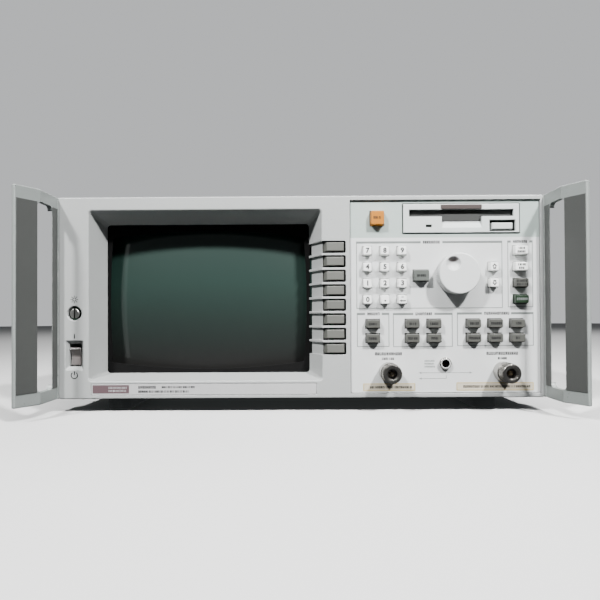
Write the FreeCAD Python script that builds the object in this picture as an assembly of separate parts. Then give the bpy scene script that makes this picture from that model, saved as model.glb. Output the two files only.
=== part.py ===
# Bench vector network analyzer: a full-width four-unit cabinet with front handles, a 9 inch display with eight
# softkeys on the left, and a control panel with keys, tuning knob, disk drive and coaxial ports on the right.
#
# Millimetres. +Z is up, the front panel faces -Y and +X is the operator's right. The origin is the centre of
# the footprint on the table. Depths (d) are counted backwards from the face of the front frame, and heights
# given to up() are counted from the lower edge of the front frame.
import FreeCAD, Part

import math
import os

V = FreeCAD.Vector

# ---- driving dimensions: cabinet
WIDTH = 425.0
HEIGHT = 177.0
FOOT_HEIGHT = 12.0
BODY_DEPTH = 514.0          # front frame face to the ends of the rear feet
REAR_FOOT_DEPTH = 26.0
HANDLE_REACH = 52.0         # how far the handles stand forward of the frame
HALF = WIDTH / 2
FRONT_Y = HANDLE_REACH - (BODY_DEPTH + HANDLE_REACH) / 2
Z_LOW = FOOT_HEIGHT
Z_HIGH = FOOT_HEIGHT + HEIGHT
REAR_D = BODY_DEPTH - REAR_FOOT_DEPTH

# ---- front frame
WALL = 3.5
RIM_WALL = 2.2
RIM_DEPTH = 32.0
STEP = 1.8                  # the control panel's face lies this far behind the frame's face
PLATE = 2.0
LEDGE = 2.4
LEDGE_DEPTH = 3.0
GAP = 0.3                   # seam between pieces that only sit beside each other

# ---- display opening: mouth in the frame's face, throat where the tube begins
MOUTH = (-186.1, 18.6, 15.5, 165.3)
THROAT = (-177.6, 7.7, 20.4, 156.2)
THROAT_D = 24.0
TUBE_X = (THROAT[0] + THROAT[1]) / 2
TUBE_Z = (THROAT[2] + THROAT[3]) / 2
TUBE_FACE_D = 26.0
TUBE_FACE_R = 480.0
TUBE_WALL = 8.0

# ---- softkeys beside the display
SOFTKEY_COUNT = 8
SOFTKEY_PITCH = 12.7
SOFTKEY_TOP = 132.1         # height of the uppermost softkey's centre
CHANNEL_HEIGHT = 10.8
CHANNEL_DROP = 2.4          # how far a channel's floor lies outside the display's sloped wall
SLOT_X = (19.5, 39.7)
SOFTKEY_FACE = (22.9, 37.8)
SOFTKEY_HEIGHT = 7.6

# ---- control panel
PANEL = (43.2, 209.7, 3.8, 173.1)
DRIVE = (90.1, 191.7, 144.0, 169.4)
KEY_RISE = 5.6              # a key's face above the control panel
KEY_GAP = 0.45
SMALL_KEY = (7.8, 7.8)
WIDE_KEY = (12.0, 7.8)
KEY_ROW_TOP = 128.2         # height of the upper row of the number pad and of the system keys
KEY_ROW_PITCH = 14.2
KNOB_AT = (136.0, 107.5)
KNOB_R = 17.6
KNOB_RISE = 14.0
SHAFT_R = 3.0
PORTS = ((76.8, 22.4), (176.5, 22.4))
PORT_R = 8.7
THREAD_R = 7.94             # 5/8 inch thread of a type N jack
PORT_RISE = 22.0
PROBE_AT = (125.9, 29.7)
PROBE_R = 5.2

# ---- left column
ADJUSTER_AT = (-198.5, 75.0)
ADJUSTER_R = 4.3
ADJUSTER_HOLE_R = 6.1
SWITCH_X = -198.5
SWITCH_Z = 38.3
SWITCH_MOUTH = (16.0, 26.2)
SWITCH_THROAT = (11.2, 20.2)
SWITCH_CHAMFER = 3.0
ROCKER_D = 12.0             # depth of the rocker's pivot
ROCKER_TILT = 10.0
NAMEPLATE = (-184.0, 13.6, 3.1, 13.3)

# ---- rear
FAN_AT = (-105.0, 95.0)
FAN_SIZE = 92.0
FAN_DEPTH = 25.0
FAN_R = 43.0
INLET_AT = (-168.0, 46.0)
BNC_R = 4.8
BNCS = ((104.0, 130.0), (134.0, 130.0), (164.0, 130.0), (104.0, 98.0), (134.0, 98.0), (164.0, 98.0))
D_SUBS = ((38.0, 128.0, 53.0), (38.0, 98.0, 31.0), (38.0, 64.0, 53.0))


def up(height):
    """Z of a height counted from the lower edge of the front frame."""
    return Z_LOW + height


def block(x0, x1, d0, d1, z0, z1):
    """A box given by its limits, with depths behind the frame's face and plain Z."""
    return Part.makeBox(x1 - x0, d1 - d0, z1 - z0, V(x0, FRONT_Y + d0, z0))


def rod(x, z, d0, d1, radius):
    """A cylinder along the depth."""
    return Part.makeCylinder(radius, d1 - d0, V(x, FRONT_Y + d0, z), V(0, 1, 0))


def cone(x, z, d0, d1, r0, r1):
    """A cone along the depth, with radius r0 at d0 and r1 at d1."""
    return Part.makeCone(r0, r1, d1 - d0, V(x, FRONT_Y + d0, z), V(0, 1, 0))


def plan(points, z0, z1):
    """A prism over an outline of (x, depth) points, from z0 to z1."""
    ring = [V(x, FRONT_Y + d, z0) for x, d in points]
    face = Part.Face(Part.makePolygon(ring + ring[:1]))
    return face.extrude(V(0, 0, z1 - z0))


def side(points, x0, x1):
    """A prism over an outline of (depth, z) points, from x0 to x1."""
    ring = [V(x0, FRONT_Y + d, z) for d, z in points]
    face = Part.Face(Part.makePolygon(ring + ring[:1]))
    return face.extrude(V(x1 - x0, 0, 0))


def ring_wire(x0, x1, z0, z1, d, radius):
    """A rectangle with round corners, standing at one depth."""
    y = FRONT_Y + d
    k = radius * (1 - math.sqrt(0.5))
    corners = (
        (V(x1 - radius, y, z0), V(x1 - k, y, z0 + k), V(x1, y, z0 + radius)),
        (V(x1, y, z1 - radius), V(x1 - k, y, z1 - k), V(x1 - radius, y, z1)),
        (V(x0 + radius, y, z1), V(x0 + k, y, z1 - k), V(x0, y, z1 - radius)),
        (V(x0, y, z0 + radius), V(x0 + k, y, z0 + k), V(x0 + radius, y, z0)),
    )
    edges = []
    for i, (start, middle, end) in enumerate(corners):
        edges.append(Part.Arc(start, middle, end).toShape())
        edges.append(Part.makeLine(end, corners[(i + 1) % 4][0]))
    return Part.Wire(edges)


def funnel(near, near_d, far, far_d, radius):
    """A solid between two round-cornered rectangles at two depths."""
    wires = [ring_wire(*near, near_d, radius), ring_wire(*far, far_d, radius)]
    return Part.makeLoft(wires, True, True)


def grown(limits, by):
    """Rectangle limits moved outwards by a distance."""
    x0, x1, z0, z1 = limits
    return (x0 - by, x1 + by, z0 - by, z1 + by)


def raised(limits):
    """Rectangle limits with heights turned into Z."""
    x0, x1, z0, z1 = limits
    return (x0, x1, up(z0), up(z1))


def centred(x, z, width, height):
    """Limits of a rectangle about a centre."""
    return (x - width / 2, x + width / 2, z - height / 2, z + height / 2)


def parallel(edge, axis):
    """True if a straight edge runs along the axis."""
    if len(edge.Vertexes) < 2 or not isinstance(edge.Curve, Part.Line):
        return False
    run = edge.Vertexes[1].Point - edge.Vertexes[0].Point
    return run.normalize().cross(axis).Length < 1e-6


def at_depth(edge, d):
    """True if an edge lies wholly at one depth."""
    box = edge.BoundBox
    y = FRONT_Y + d
    return abs(box.YMin - y) < 1e-4 and abs(box.YMax - y) < 1e-4


def fuse(shapes):
    """All shapes as one solid."""
    return shapes[0].multiFuse(shapes[1:]).removeSplitter()


def mirrored(shape):
    """The same shape on the other side of the cabinet."""
    return shape.mirror(V(0, 0, 0), V(1, 0, 0))


# ---- keys: name, centre, size

def softkey_height(i):
    return SOFTKEY_TOP - SOFTKEY_PITCH * i


def key_table():
    """Every panel key as name -> (x, height, width, tallness, rise)."""
    keys = {"key_begin": (67.2, 156.9, 11.9, 12.7, 6.0), "key_enter": (105.3, 106.4, 13.4, 10.1, KEY_RISE)}
    rows = (("7", "8", "9"), ("4", "5", "6"), ("1", "2", "3"), ("0", "point", "backspace"))
    for r, names in enumerate(rows):
        for c, name in enumerate(names):
            keys["key_" + name] = (58.2 + 15.1 * c, KEY_ROW_TOP - KEY_ROW_PITCH * r, *SMALL_KEY, KEY_RISE)
    for r, name in enumerate(("up", "down")):
        keys["key_" + name] = (168.2, KEY_ROW_TOP - KEY_ROW_PITCH * (r + 1), *SMALL_KEY, KEY_RISE)
    for r, name in enumerate(("save", "copy", "options", "preset")):
        keys["key_" + name] = (192.0, KEY_ROW_TOP - KEY_ROW_PITCH * r, *WIDE_KEY, KEY_RISE)
    banks = (
        (("channel_1",), ("channel_2",), 62.9),
        (("frequency", "sweep"), ("power", "menu"), 97.3),
        (("scale", "display", "calibrate"), ("marker", "format", "average"), 150.5),
    )
    for upper, lower, x in banks:
        for r, names in enumerate((upper, lower)):
            for c, name in enumerate(names):
                keys["key_" + name] = (x + 19.0 * c, 64.5 - 12.6 * r, *WIDE_KEY, KEY_RISE)
    return keys


# ---- front frame

def display_hopper(frame):
    """Adds the sloped surround of the display and cuts its mouth."""
    mouth, throat = raised(MOUTH), raised(THROAT)
    # The funnels run past both ends, along the same slope, so that the cut is clean.
    over = 0.25
    near = tuple(m + (m - t) * over for m, t in zip(mouth, throat))
    far = tuple(t + (t - m) * over for m, t in zip(mouth, throat))
    inner = funnel(near, -THROAT_D * over, far, THROAT_D * (1 + over), 3.0)
    outer = funnel(grown(mouth, 2.6), WALL / 2, grown(throat, 2.6), THROAT_D, 4.0)
    slope = (MOUTH[1] - THROAT[1]) / THROAT_D
    comb_z = (up(softkey_height(SOFTKEY_COUNT - 1) - 9.5), up(SOFTKEY_TOP + 9.5))
    comb = plan(
        ((MOUTH[1], 1.0), (PANEL[0] - 0.5, 1.0), (PANEL[0] - 0.5, 9.0), (28.0, 9.0),
         (THROAT[1] + 6.0, THROAT_D), (THROAT[1], THROAT_D), (MOUTH[1] - slope, 1.0)),
        *comb_z,
    )
    frame = fuse([frame, outer, comb]).cut(inner)
    mouth_edges = [e for e in frame.Edges if at_depth(e, 0) and mouth[0] - 0.5 < e.BoundBox.XMin
                   and e.BoundBox.XMax < mouth[1] + 0.5 and e.BoundBox.ZMin > mouth[2] - 0.5
                   and e.BoundBox.ZMax < mouth[3] + 0.5]
    return frame.makeFillet(1.5, mouth_edges)


def softkey_channel(i):
    """The space that one softkey and its pointer channel take out of the frame."""
    z = up(softkey_height(i))
    z0, z1 = z - CHANNEL_HEIGHT / 2, z + CHANNEL_HEIGHT / 2
    slot = block(*SLOT_X, -5.0, 12.0, z0, z1)
    far_edges = [e for e in slot.Edges if parallel(e, V(0, 1, 0)) and e.BoundBox.XMin > SLOT_X[1] - 0.1]
    slot = slot.makeFillet(1.6, far_edges)
    slope = (MOUTH[1] - THROAT[1]) / THROAT_D
    floor_far = THROAT[1] + CHANNEL_DROP - slope * 2.0
    floor_near_d = (MOUTH[1] + CHANNEL_DROP - SLOT_X[0]) / slope
    pointer = plan(
        ((SLOT_X[0] + 0.1, -5.0), (SLOT_X[0] + 0.1, floor_near_d), (floor_far, THROAT_D + 2.0),
         (THROAT[1] - 3.0, THROAT_D + 2.0), (THROAT[1] - 3.0, -5.0)),
        z0, z1,
    )
    return slot.fuse(pointer)


def switch_pocket():
    """The mouth and throat that the line switch sits in."""
    mouth = centred(SWITCH_X, up(SWITCH_Z), *SWITCH_MOUTH)
    throat = centred(SWITCH_X, up(SWITCH_Z), *SWITCH_THROAT)
    over = 0.5
    near = tuple(m + (m - t) * over for m, t in zip(mouth, throat))
    cut = funnel(near, -SWITCH_CHAMFER * over, throat, SWITCH_CHAMFER, 1.2)
    deep = block(throat[0], throat[1], SWITCH_CHAMFER - 0.01, 21.0, throat[2], throat[3])
    pivot = Part.makeCylinder(1.6, SWITCH_THROAT[0] + 3.0,
                              V(throat[0] - 1.5, FRONT_Y + ROCKER_D, up(SWITCH_Z)), V(1, 0, 0))
    return fuse([cut, deep, pivot])


def front_frame():
    """The die-cast frame: rim, display surround, softkey comb, switch pocket and the opening for the panel."""
    frame = block(-HALF, HALF, 0, RIM_DEPTH, Z_LOW, Z_HIGH)
    frame = frame.makeFillet(2.0, [e for e in frame.Edges if parallel(e, V(0, 1, 0))])
    frame = frame.makeFillet(1.2, [e for e in frame.Edges if at_depth(e, 0)])
    hollow = block(-HALF + RIM_WALL, HALF - RIM_WALL, WALL, RIM_DEPTH, Z_LOW + RIM_WALL, Z_HIGH - RIM_WALL)
    frame = display_hopper(frame.cut(hollow))
    throat = grown(centred(SWITCH_X, up(SWITCH_Z), *SWITCH_THROAT), 2.2)
    pocket = block(throat[0], throat[1], WALL - 0.1, 22.5, throat[2], throat[3])
    x0, x1, z0, z1 = raised(PANEL)
    ledge = block(x0 - 1.0, HALF - RIM_WALL, WALL - 0.5, STEP + PLATE + LEDGE_DEPTH,
                  Z_LOW + RIM_WALL, Z_HIGH - RIM_WALL)
    frame = fuse([frame, pocket, ledge])
    cuts = [switch_pocket()]
    cuts.append(block(x0, x1, -1.0, STEP + PLATE, z0, z1))
    cuts.append(block(x0 + LEDGE, x1 - LEDGE, 0, 20.0, z0 + LEDGE, z1 - LEDGE))
    cuts += [softkey_channel(i) for i in range(SOFTKEY_COUNT)]
    ax, az = ADJUSTER_AT
    cuts.append(rod(ax, up(az), -1.0, 8.0, ADJUSTER_HOLE_R))
    cuts.append(cone(ax, up(az), -0.1, 0.7, ADJUSTER_HOLE_R + 0.8, ADJUSTER_HOLE_R))
    cuts.append(block(NAMEPLATE[0], NAMEPLATE[1], -1.0, 0.6, up(NAMEPLATE[2]), up(NAMEPLATE[3])))
    for z in HANDLE_SCREW_Z:
        for x in (-HALF - 1.0, HALF - RIM_WALL - 1.0):
            cuts.append(Part.makeCylinder(2.0, RIM_WALL + 2.0, V(x, FRONT_Y + HANDLE_SCREW_D, z), V(1, 0, 0)))
    return frame.cut(Part.makeCompound(cuts)).removeSplitter()


def control_panel():
    """The plate that carries the keys, knob, ports and drive."""
    x0, x1, z0, z1 = grown(raised(PANEL), -GAP)
    plate = block(x0, x1, STEP, STEP + PLATE, z0, z1)
    plate = plate.makeFillet(1.0, [e for e in plate.Edges if parallel(e, V(0, 1, 0))])
    plate = plate.makeChamfer(0.3, [e for e in plate.Edges if at_depth(e, STEP)])
    cuts = []
    for x, z, width, height, _ in key_table().values():
        hole = grown(centred(x, up(z), width, height), KEY_GAP)
        cuts.append(block(hole[0], hole[1], 0, 10.0, hole[2], hole[3]))
    bezel = grown(raised(DRIVE), GAP)
    cuts.append(block(bezel[0], bezel[1], 0, 10.0, bezel[2], bezel[3]))
    cuts.append(rod(KNOB_AT[0], up(KNOB_AT[1]), 0, 10.0, 5.0))
    cuts += [rod(x, up(z), 0, 10.0, PORT_R - 1.4) for x, z in PORTS]
    cuts.append(rod(PROBE_AT[0], up(PROBE_AT[1]), 0, 10.0, PROBE_R - 0.8))
    return plate.cut(Part.makeCompound(cuts))


# ---- handles

HANDLE_WALL = 4.0
HANDLE_FLARE = 28.0         # degrees outwards
HANDLE_BEND_D = -31.5
HANDLE_FLANGE_D = 22.0
HANDLE_OFFSET = 1.0         # the free part stands this far outside the frame
HANDLE_ARM = 10.0
WINDOW_D = (-34.0, -10.0)
WINDOW_RAKE = 2.1           # the window's rear edge slopes back towards the outside
HANDLE_SCREW_D = 12.0
HANDLE_SCREW_Z = (up(26.0), up(88.5), up(151.0))
OUTER_X = HALF + HANDLE_OFFSET + HANDLE_WALL


def handle_profile():
    """Plan outline of the right handle: a flange on the frame's side, a straight run and a flared grip."""
    run = (HANDLE_REACH + HANDLE_BEND_D) / math.cos(math.radians(HANDLE_FLARE))
    sine, cosine = math.sin(math.radians(HANDLE_FLARE)), math.cos(math.radians(HANDLE_FLARE))
    inner_x = HALF + HANDLE_OFFSET
    tip = (inner_x + run * sine, -HANDLE_REACH)
    outer_tip = (tip[0] + HANDLE_WALL * cosine, tip[1] + HANDLE_WALL * sine)
    outer_bend_d = HANDLE_BEND_D + HANDLE_WALL * math.tan(math.radians(HANDLE_FLARE / 2))
    return (
        (HALF, HANDLE_FLANGE_D), (HALF, 0.5), (inner_x, 0.5), (inner_x, HANDLE_BEND_D), tip, outer_tip,
        (OUTER_X, outer_bend_d), (OUTER_X, HANDLE_FLANGE_D),
    )


def right_handle():
    handle = plan(handle_profile(), Z_LOW, Z_HIGH)
    vertical = [e for e in handle.Edges if parallel(e, V(0, 0, 1)) and e.BoundBox.YMin < FRONT_Y + HANDLE_BEND_D - 3]
    handle = handle.makeFillet(1.2, vertical)
    low, high = Z_LOW + HANDLE_ARM, Z_HIGH - HANDLE_ARM
    window = block(HALF - 5.0, OUTER_X + 20.0, *WINDOW_D, low, high)
    window = window.makeFillet(4.0, [e for e in window.Edges if parallel(e, V(1, 0, 0))])
    inner_x, back = HALF + HANDLE_OFFSET, WINDOW_D[1]
    rake = plan(((inner_x, back), (inner_x + 8.0, back), (inner_x + 8.0, back + 8.0 * WINDOW_RAKE)), low, high)
    handle = handle.cut(window).cut(rake)
    rims = [e for e in handle.Edges if abs(e.BoundBox.ZLength) < 1e-6
            and (abs(e.BoundBox.ZMin - Z_LOW) < 1e-6 or abs(e.BoundBox.ZMin - Z_HIGH) < 1e-6)]
    handle = handle.makeFillet(0.8, rims)
    for z in HANDLE_SCREW_Z:
        handle = handle.cut(Part.makeCylinder(2.2, 20.0, V(HALF - 5, FRONT_Y + HANDLE_SCREW_D, z), V(1, 0, 0)))
        head = V(OUTER_X - 1.8, FRONT_Y + HANDLE_SCREW_D, z)
        handle = handle.cut(Part.makeCylinder(4.0, 5.0, head, V(1, 0, 0)))
    return handle


def front_handles():
    right = right_handle()
    return Part.makeCompound([right, mirrored(right)])


# ---- display tube

def display_tube():
    """The picture tube, hollow: curved faceplate, skirt, funnel and neck, with the exhaust hole in its base."""
    x, z = TUBE_X, up(TUBE_Z)
    face = centred(x, z, 191.0, 141.6)
    centre = V(x, FRONT_Y + TUBE_FACE_D + TUBE_FACE_R, z)
    glass = block(face[0], face[1], 24.0, 56.0, face[2], face[3])
    glass = glass.makeFillet(14.0, [e for e in glass.Edges if parallel(e, V(0, 1, 0))])
    glass = glass.common(Part.makeSphere(TUBE_FACE_R, centre))
    cone_part = funnel(grown(face, -4.0), 50.0, centred(x, z, 30.0, 30.0), 165.0, 13.0)
    neck = rod(x, z, 163.0, 236.0, 14.2)
    base = rod(x, z, 235.0, 244.0, 11.0)
    inside = grown(face, -TUBE_WALL)
    room = block(inside[0], inside[1], 24.0, 56.0, inside[2], inside[3])
    room = room.makeFillet(10.0, [e for e in room.Edges if parallel(e, V(0, 1, 0))])
    room = room.common(Part.makeSphere(TUBE_FACE_R - TUBE_WALL, centre))
    cone_room = funnel(grown(inside, -4.0), 50.0, centred(x, z, 22.0, 22.0), 164.0, 9.0)
    hollow = fuse([room, cone_room, rod(x, z, 163.0, 233.0, 12.4), rod(x, z, 232.0, 245.0, 2.0)])
    return fuse([glass, cone_part, neck, base]).cut(hollow)


# ---- softkeys and panel keys

def softkey(i):
    """A softkey: cap with a long left flank, running straight back to its switch, with a retaining flange."""
    z = up(softkey_height(i))
    low, high = z - SOFTKEY_HEIGHT / 2, z + SOFTKEY_HEIGHT / 2
    cap = plan(
        ((SLOT_X[0] + 0.5, 4.6), (SOFTKEY_FACE[0], -1.6), (SOFTKEY_FACE[1], -1.6), (SOFTKEY_FACE[1] + 0.4, 4.6),
         (SOFTKEY_FACE[1] + 0.4, 9.6), (SLOT_X[0] + 0.5, 9.6)),
        low, high,
    )
    rim = [e for e in cap.Edges if at_depth(e, -1.6)]
    cap = cap.makeFillet(0.7, rim)
    flange = block(29.0, SLOT_X[1] + 1.2, 9.5, 10.6, z - 5.9, z + 5.9)
    stem = block(30.0, 35.0, 10.5, 13.0, z - 2.0, z + 2.0)
    return fuse([cap, flange, stem])


def panel_key(x, height, width, tall, rise):
    """A keycap that stands out of the control panel, with a flange behind the plate and a stem."""
    z = up(height)
    base = centred(x, z, width, tall)
    top = grown(base, -0.35)
    face_d = STEP - rise
    cap = funnel(top, face_d, base, STEP, 1.1)
    cap = cap.makeFillet(0.55, [e for e in cap.Edges if at_depth(e, face_d)])
    skirt = funnel(base, STEP, base, STEP + PLATE + GAP + 0.1, 1.1)
    wide = grown(base, 1.0)
    flange = block(wide[0], wide[1], STEP + PLATE + GAP, STEP + PLATE + GAP + 1.0, wide[2], wide[3])
    stem = rod(x, z, STEP + PLATE + GAP + 0.9, 8.6, 1.8)
    return fuse([cap, skirt, flange, stem])


# ---- knob, adjuster, rocker

def tuning_knob():
    """The tuning knob: knurled skirt, finger dimple and its shaft."""
    x, z = KNOB_AT[0], up(KNOB_AT[1])
    face_d = STEP - KNOB_RISE
    back_d = STEP - 0.8
    knob = rod(x, z, face_d, back_d, KNOB_R)
    knob = knob.makeFillet(1.0, [e for e in knob.Edges if at_depth(e, face_d)])
    dimple_r = 7.2
    dimple = Part.makeSphere(dimple_r, V(x - 5.4, FRONT_Y + face_d - dimple_r + 3.6, z + 8.5))
    grooves = []
    count = 72
    for i in range(count):
        angle = 2 * math.pi * i / count
        gx, gz = x + (KNOB_R + 0.25) * math.cos(angle), z + (KNOB_R + 0.25) * math.sin(angle)
        grooves.append(rod(gx, gz, face_d + 2.4, back_d + 1.0, 0.55))
    shaft = rod(x, z, back_d - 1.0, 24.0, SHAFT_R)
    return fuse([knob.cut(Part.makeCompound(grooves + [dimple])), shaft])


def brightness_adjuster():
    """A slotted adjuster turned with a coin or a screwdriver."""
    x, z = ADJUSTER_AT[0], up(ADJUSTER_AT[1])
    disc = rod(x, z, 0.4, 8.0, ADJUSTER_R)
    disc = disc.makeFillet(0.8, [e for e in disc.Edges if at_depth(e, 0.4)])
    slot = block(x - 0.6, x + 0.6, -1.0, 1.8, z - 6.0, z + 6.0)
    return fuse([disc.cut(slot), rod(x, z, 7.0, 17.0, SHAFT_R)])


def line_switch_rocker():
    """The rocker, drawn level and then tilted with its upper end out, which is the standby position."""
    z = up(SWITCH_Z)
    half, tip, middle = 8.2, ROCKER_D - 9.0, ROCKER_D - 6.4
    outline = (
        (tip + 1.0, z + half), (tip, z + half - 1.0), (middle, z + 0.6), (middle, z - 0.6), (tip, z - half + 1.0),
        (tip + 1.0, z - half), (ROCKER_D, z - half + 1.6), (ROCKER_D + 4.5, z - 3.0), (ROCKER_D + 4.5, z + 3.0),
        (ROCKER_D, z + half - 1.6),
    )
    width = 9.0
    body = side(outline, SWITCH_X - width / 2, SWITCH_X + width / 2)
    body = body.makeFillet(0.6, [e for e in body.Edges if parallel(e, V(1, 0, 0))
                                 and e.BoundBox.YMax < FRONT_Y + tip + 1.2])
    axis = V(SWITCH_X - SWITCH_THROAT[0] / 2 - 1.2, FRONT_Y + ROCKER_D, z)
    pins = Part.makeCylinder(1.55, SWITCH_THROAT[0] + 2.4, axis, V(1, 0, 0))
    rocker = fuse([body, pins])
    rocker.rotate(axis, V(1, 0, 0), ROCKER_TILT)
    return rocker


# ---- disk drive

SLOT = (95.2, 186.6, 158.2, 164.5)
NOTCH = (123.8, 158.8, 146.9, 168.0)
BEZEL_D = (0.4, 8.0)
DOOR_D = 4.6
DOOR_HINGE_Z = 165.2
DOOR_PIN_R = 0.6
CASE_END_D = 156.0
DISK_END_D = 108.0
EJECT_BAY = (165.4, 188.2, 145.2, 155.2)
EJECT = (167.1, 185.0, 146.6, 152.2)


def disk_drive():
    """The 3.5 inch drive: moulded bezel with its slot and finger notch, and the drive's case, open at the back."""
    bezel = block(DRIVE[0], DRIVE[1], *BEZEL_D, up(DRIVE[2]), up(DRIVE[3]))
    bezel = bezel.makeFillet(0.7, [e for e in bezel.Edges if at_depth(e, BEZEL_D[0])])
    case = block(DRIVE[0] + 0.8, DRIVE[1] - 0.8, BEZEL_D[1], CASE_END_D, up(DRIVE[2]) + 0.6, up(DRIVE[3]) - 0.6)
    drive = fuse([bezel, case])
    x0, x1, z0, z1 = raised(SLOT)
    nx0, nx1, nz0, nz1 = raised(NOTCH)
    flap_top = up(DOOR_HINGE_Z) + 1.6
    notch_low = up(154.2)
    bay = raised(EJECT_BAY)
    cuts = [block(x0, x1, -1.0, DOOR_D, z0, z1)]
    cuts.append(block(x0, x1, DOOR_D - 0.9, DISK_END_D, z0, flap_top))
    cuts.append(block(nx0, nx1, -1.0, 2.6, z1 - 1.0, nz1))
    cuts.append(side(((-1.0, nz0 - 1.2), (-1.0, z0 + 1.0), (15.0, z0 + 1.0), (15.0, notch_low), (3.4, notch_low)),
                     nx0, nx1))
    cuts.append(block(bay[0], bay[1], -1.0, 24.0, bay[2], bay[3]))
    cuts.append(block(109.9, 115.1, -1.0, 2.0, up(148.8), up(151.2)))
    cuts.append(block(DRIVE[0] + 2.4, DRIVE[1] - 2.4, 26.0, CASE_END_D + 1.0, up(DRIVE[2]) + 2.2, z0 - 1.6))
    cuts.append(Part.makeCylinder(DOOR_PIN_R + 0.05, x1 - x0 + 4.0,
                                  V(x0 - 2.0, FRONT_Y + DOOR_D, up(DOOR_HINGE_Z)), V(1, 0, 0)))
    return drive.cut(Part.makeCompound(cuts))


def disk_door():
    """The dust flap behind the slot, hinged along its upper edge on two pins."""
    x0, x1 = SLOT[0] + 0.5, SLOT[1] - 0.5
    z0, hinge = up(SLOT[2]) + 0.35, up(DOOR_HINGE_Z)
    flap = block(x0, x1, DOOR_D - 0.5, DOOR_D + 0.5, z0, hinge)
    tab = block(NOTCH[0] + 0.6, NOTCH[1] - 0.6, DOOR_D - 0.5, DOOR_D + 0.5, up(154.7), z0 + 0.5)
    pin = Part.makeCylinder(DOOR_PIN_R, x1 - x0 + 4.0, V(x0 - 2.0, FRONT_Y + DOOR_D, hinge), V(1, 0, 0))
    return fuse([flap, tab, pin])


def disk_eject_button():
    x0, x1, z0, z1 = raised(EJECT)
    button = block(x0, x1, -1.4, 9.0, z0, z1)
    button = button.makeFillet(0.8, [e for e in button.Edges if at_depth(e, -1.4)])
    stem = block(x0 + 6.0, x1 - 6.0, 8.9, 16.0, z0 + 1.5, z1 - 1.5)
    return fuse([button, stem])


# ---- connectors

def type_n_jack(x, height):
    """A type N jack: barrel and threaded nose in front of the plate, nut and body behind it, centre contact."""
    z = up(height)
    nose = STEP - PORT_RISE
    shoulder = nose + 10.5
    body = rod(x, z, shoulder, STEP, PORT_R)
    body = body.makeChamfer(0.6, [e for e in body.Edges if at_depth(e, shoulder)])
    thread = rod(x, z, nose, shoulder + 0.5, THREAD_R)
    thread = thread.makeChamfer(0.5, [e for e in thread.Edges if at_depth(e, nose)])
    bore = rod(x, z, nose - 1.0, nose + 9.5, 4.15)
    mouth = rod(x, z, nose - 1.0, nose + 1.6, 5.2)
    neck = rod(x, z, STEP - 0.1, 14.0, PORT_R - 1.7)
    nut = rod(x, z, STEP + PLATE + GAP, STEP + PLATE + 4.0, 11.0)
    tail = rod(x, z, 13.9, 30.0, 4.0)
    shell = fuse([body, thread, neck, nut, tail]).cut(fuse([bore, mouth]))
    contact = rod(x, z, nose + 3.0, nose + 9.6, 1.6).cut(rod(x, z, nose + 2.0, nose + 7.0, 0.85))
    return fuse([shell, contact])


def probe_jack():
    """The small three-pin probe supply jack."""
    x, z = PROBE_AT[0], up(PROBE_AT[1])
    ring = rod(x, z, STEP - 3.2, STEP, PROBE_R)
    ring = ring.makeFillet(0.8, [e for e in ring.Edges if at_depth(e, STEP - 3.2)])
    body = fuse([ring, rod(x, z, STEP - 0.1, 20.0, PROBE_R - 1.0)])
    return body.cut(rod(x, z, STEP - 4.0, 8.0, 3.4))


def bnc_jack(x, height):
    """A BNC jack on the rear panel, with its two bayonet lugs."""
    z = up(height)
    face = REAR_D
    base = rod(x, z, face, face + 2.4, 6.6)
    barrel = rod(x, z, face + 2.3, face + 12.5, BNC_R)
    lugs = Part.makeCylinder(1.0, 2 * BNC_R + 2.2, V(x - BNC_R - 1.1, FRONT_Y + face + 9.5, z), V(1, 0, 0))
    tail = rod(x, z, face - 12.0, face + 0.1, 4.9)
    shell = fuse([base, barrel, lugs, tail]).cut(rod(x, z, face + 4.0, face + 14.0, 3.5))
    return fuse([shell, rod(x, z, face + 3.9, face + 11.0, 0.9)])


def d_sub(x, height, width):
    """A flanged multi-pin connector shell on the rear panel."""
    z = up(height)
    flange = block(x - width / 2, x + width / 2, REAR_D, REAR_D + 1.0, z - 6.2, z + 6.2)
    slant = 1.6
    w = width / 2 - 7.0
    y0 = REAR_D + 0.9
    ring = [V(x - w, FRONT_Y + y0, z + 4.2), V(x + w, FRONT_Y + y0, z + 4.2),
            V(x + w - slant, FRONT_Y + y0, z - 4.2), V(x - w + slant, FRONT_Y + y0, z - 4.2)]
    shell = Part.Face(Part.makePolygon(ring + ring[:1])).extrude(V(0, 5.6, 0))
    inner = block(x - w + 2.6, x + w - 2.6, REAR_D + 2.5, REAR_D + 9.0, z - 3.0, z + 3.0)
    body = block(x - w - 1.0, x + w + 1.0, REAR_D - 10.0, REAR_D + 0.1, z - 5.0, z + 5.0)
    posts = [rod(x + s * (width / 2 - 3.2), z, REAR_D + 0.9, REAR_D + 5.4, 2.2) for s in (-1, 1)]
    return fuse([flange, shell, body] + posts).cut(inner)


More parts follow.
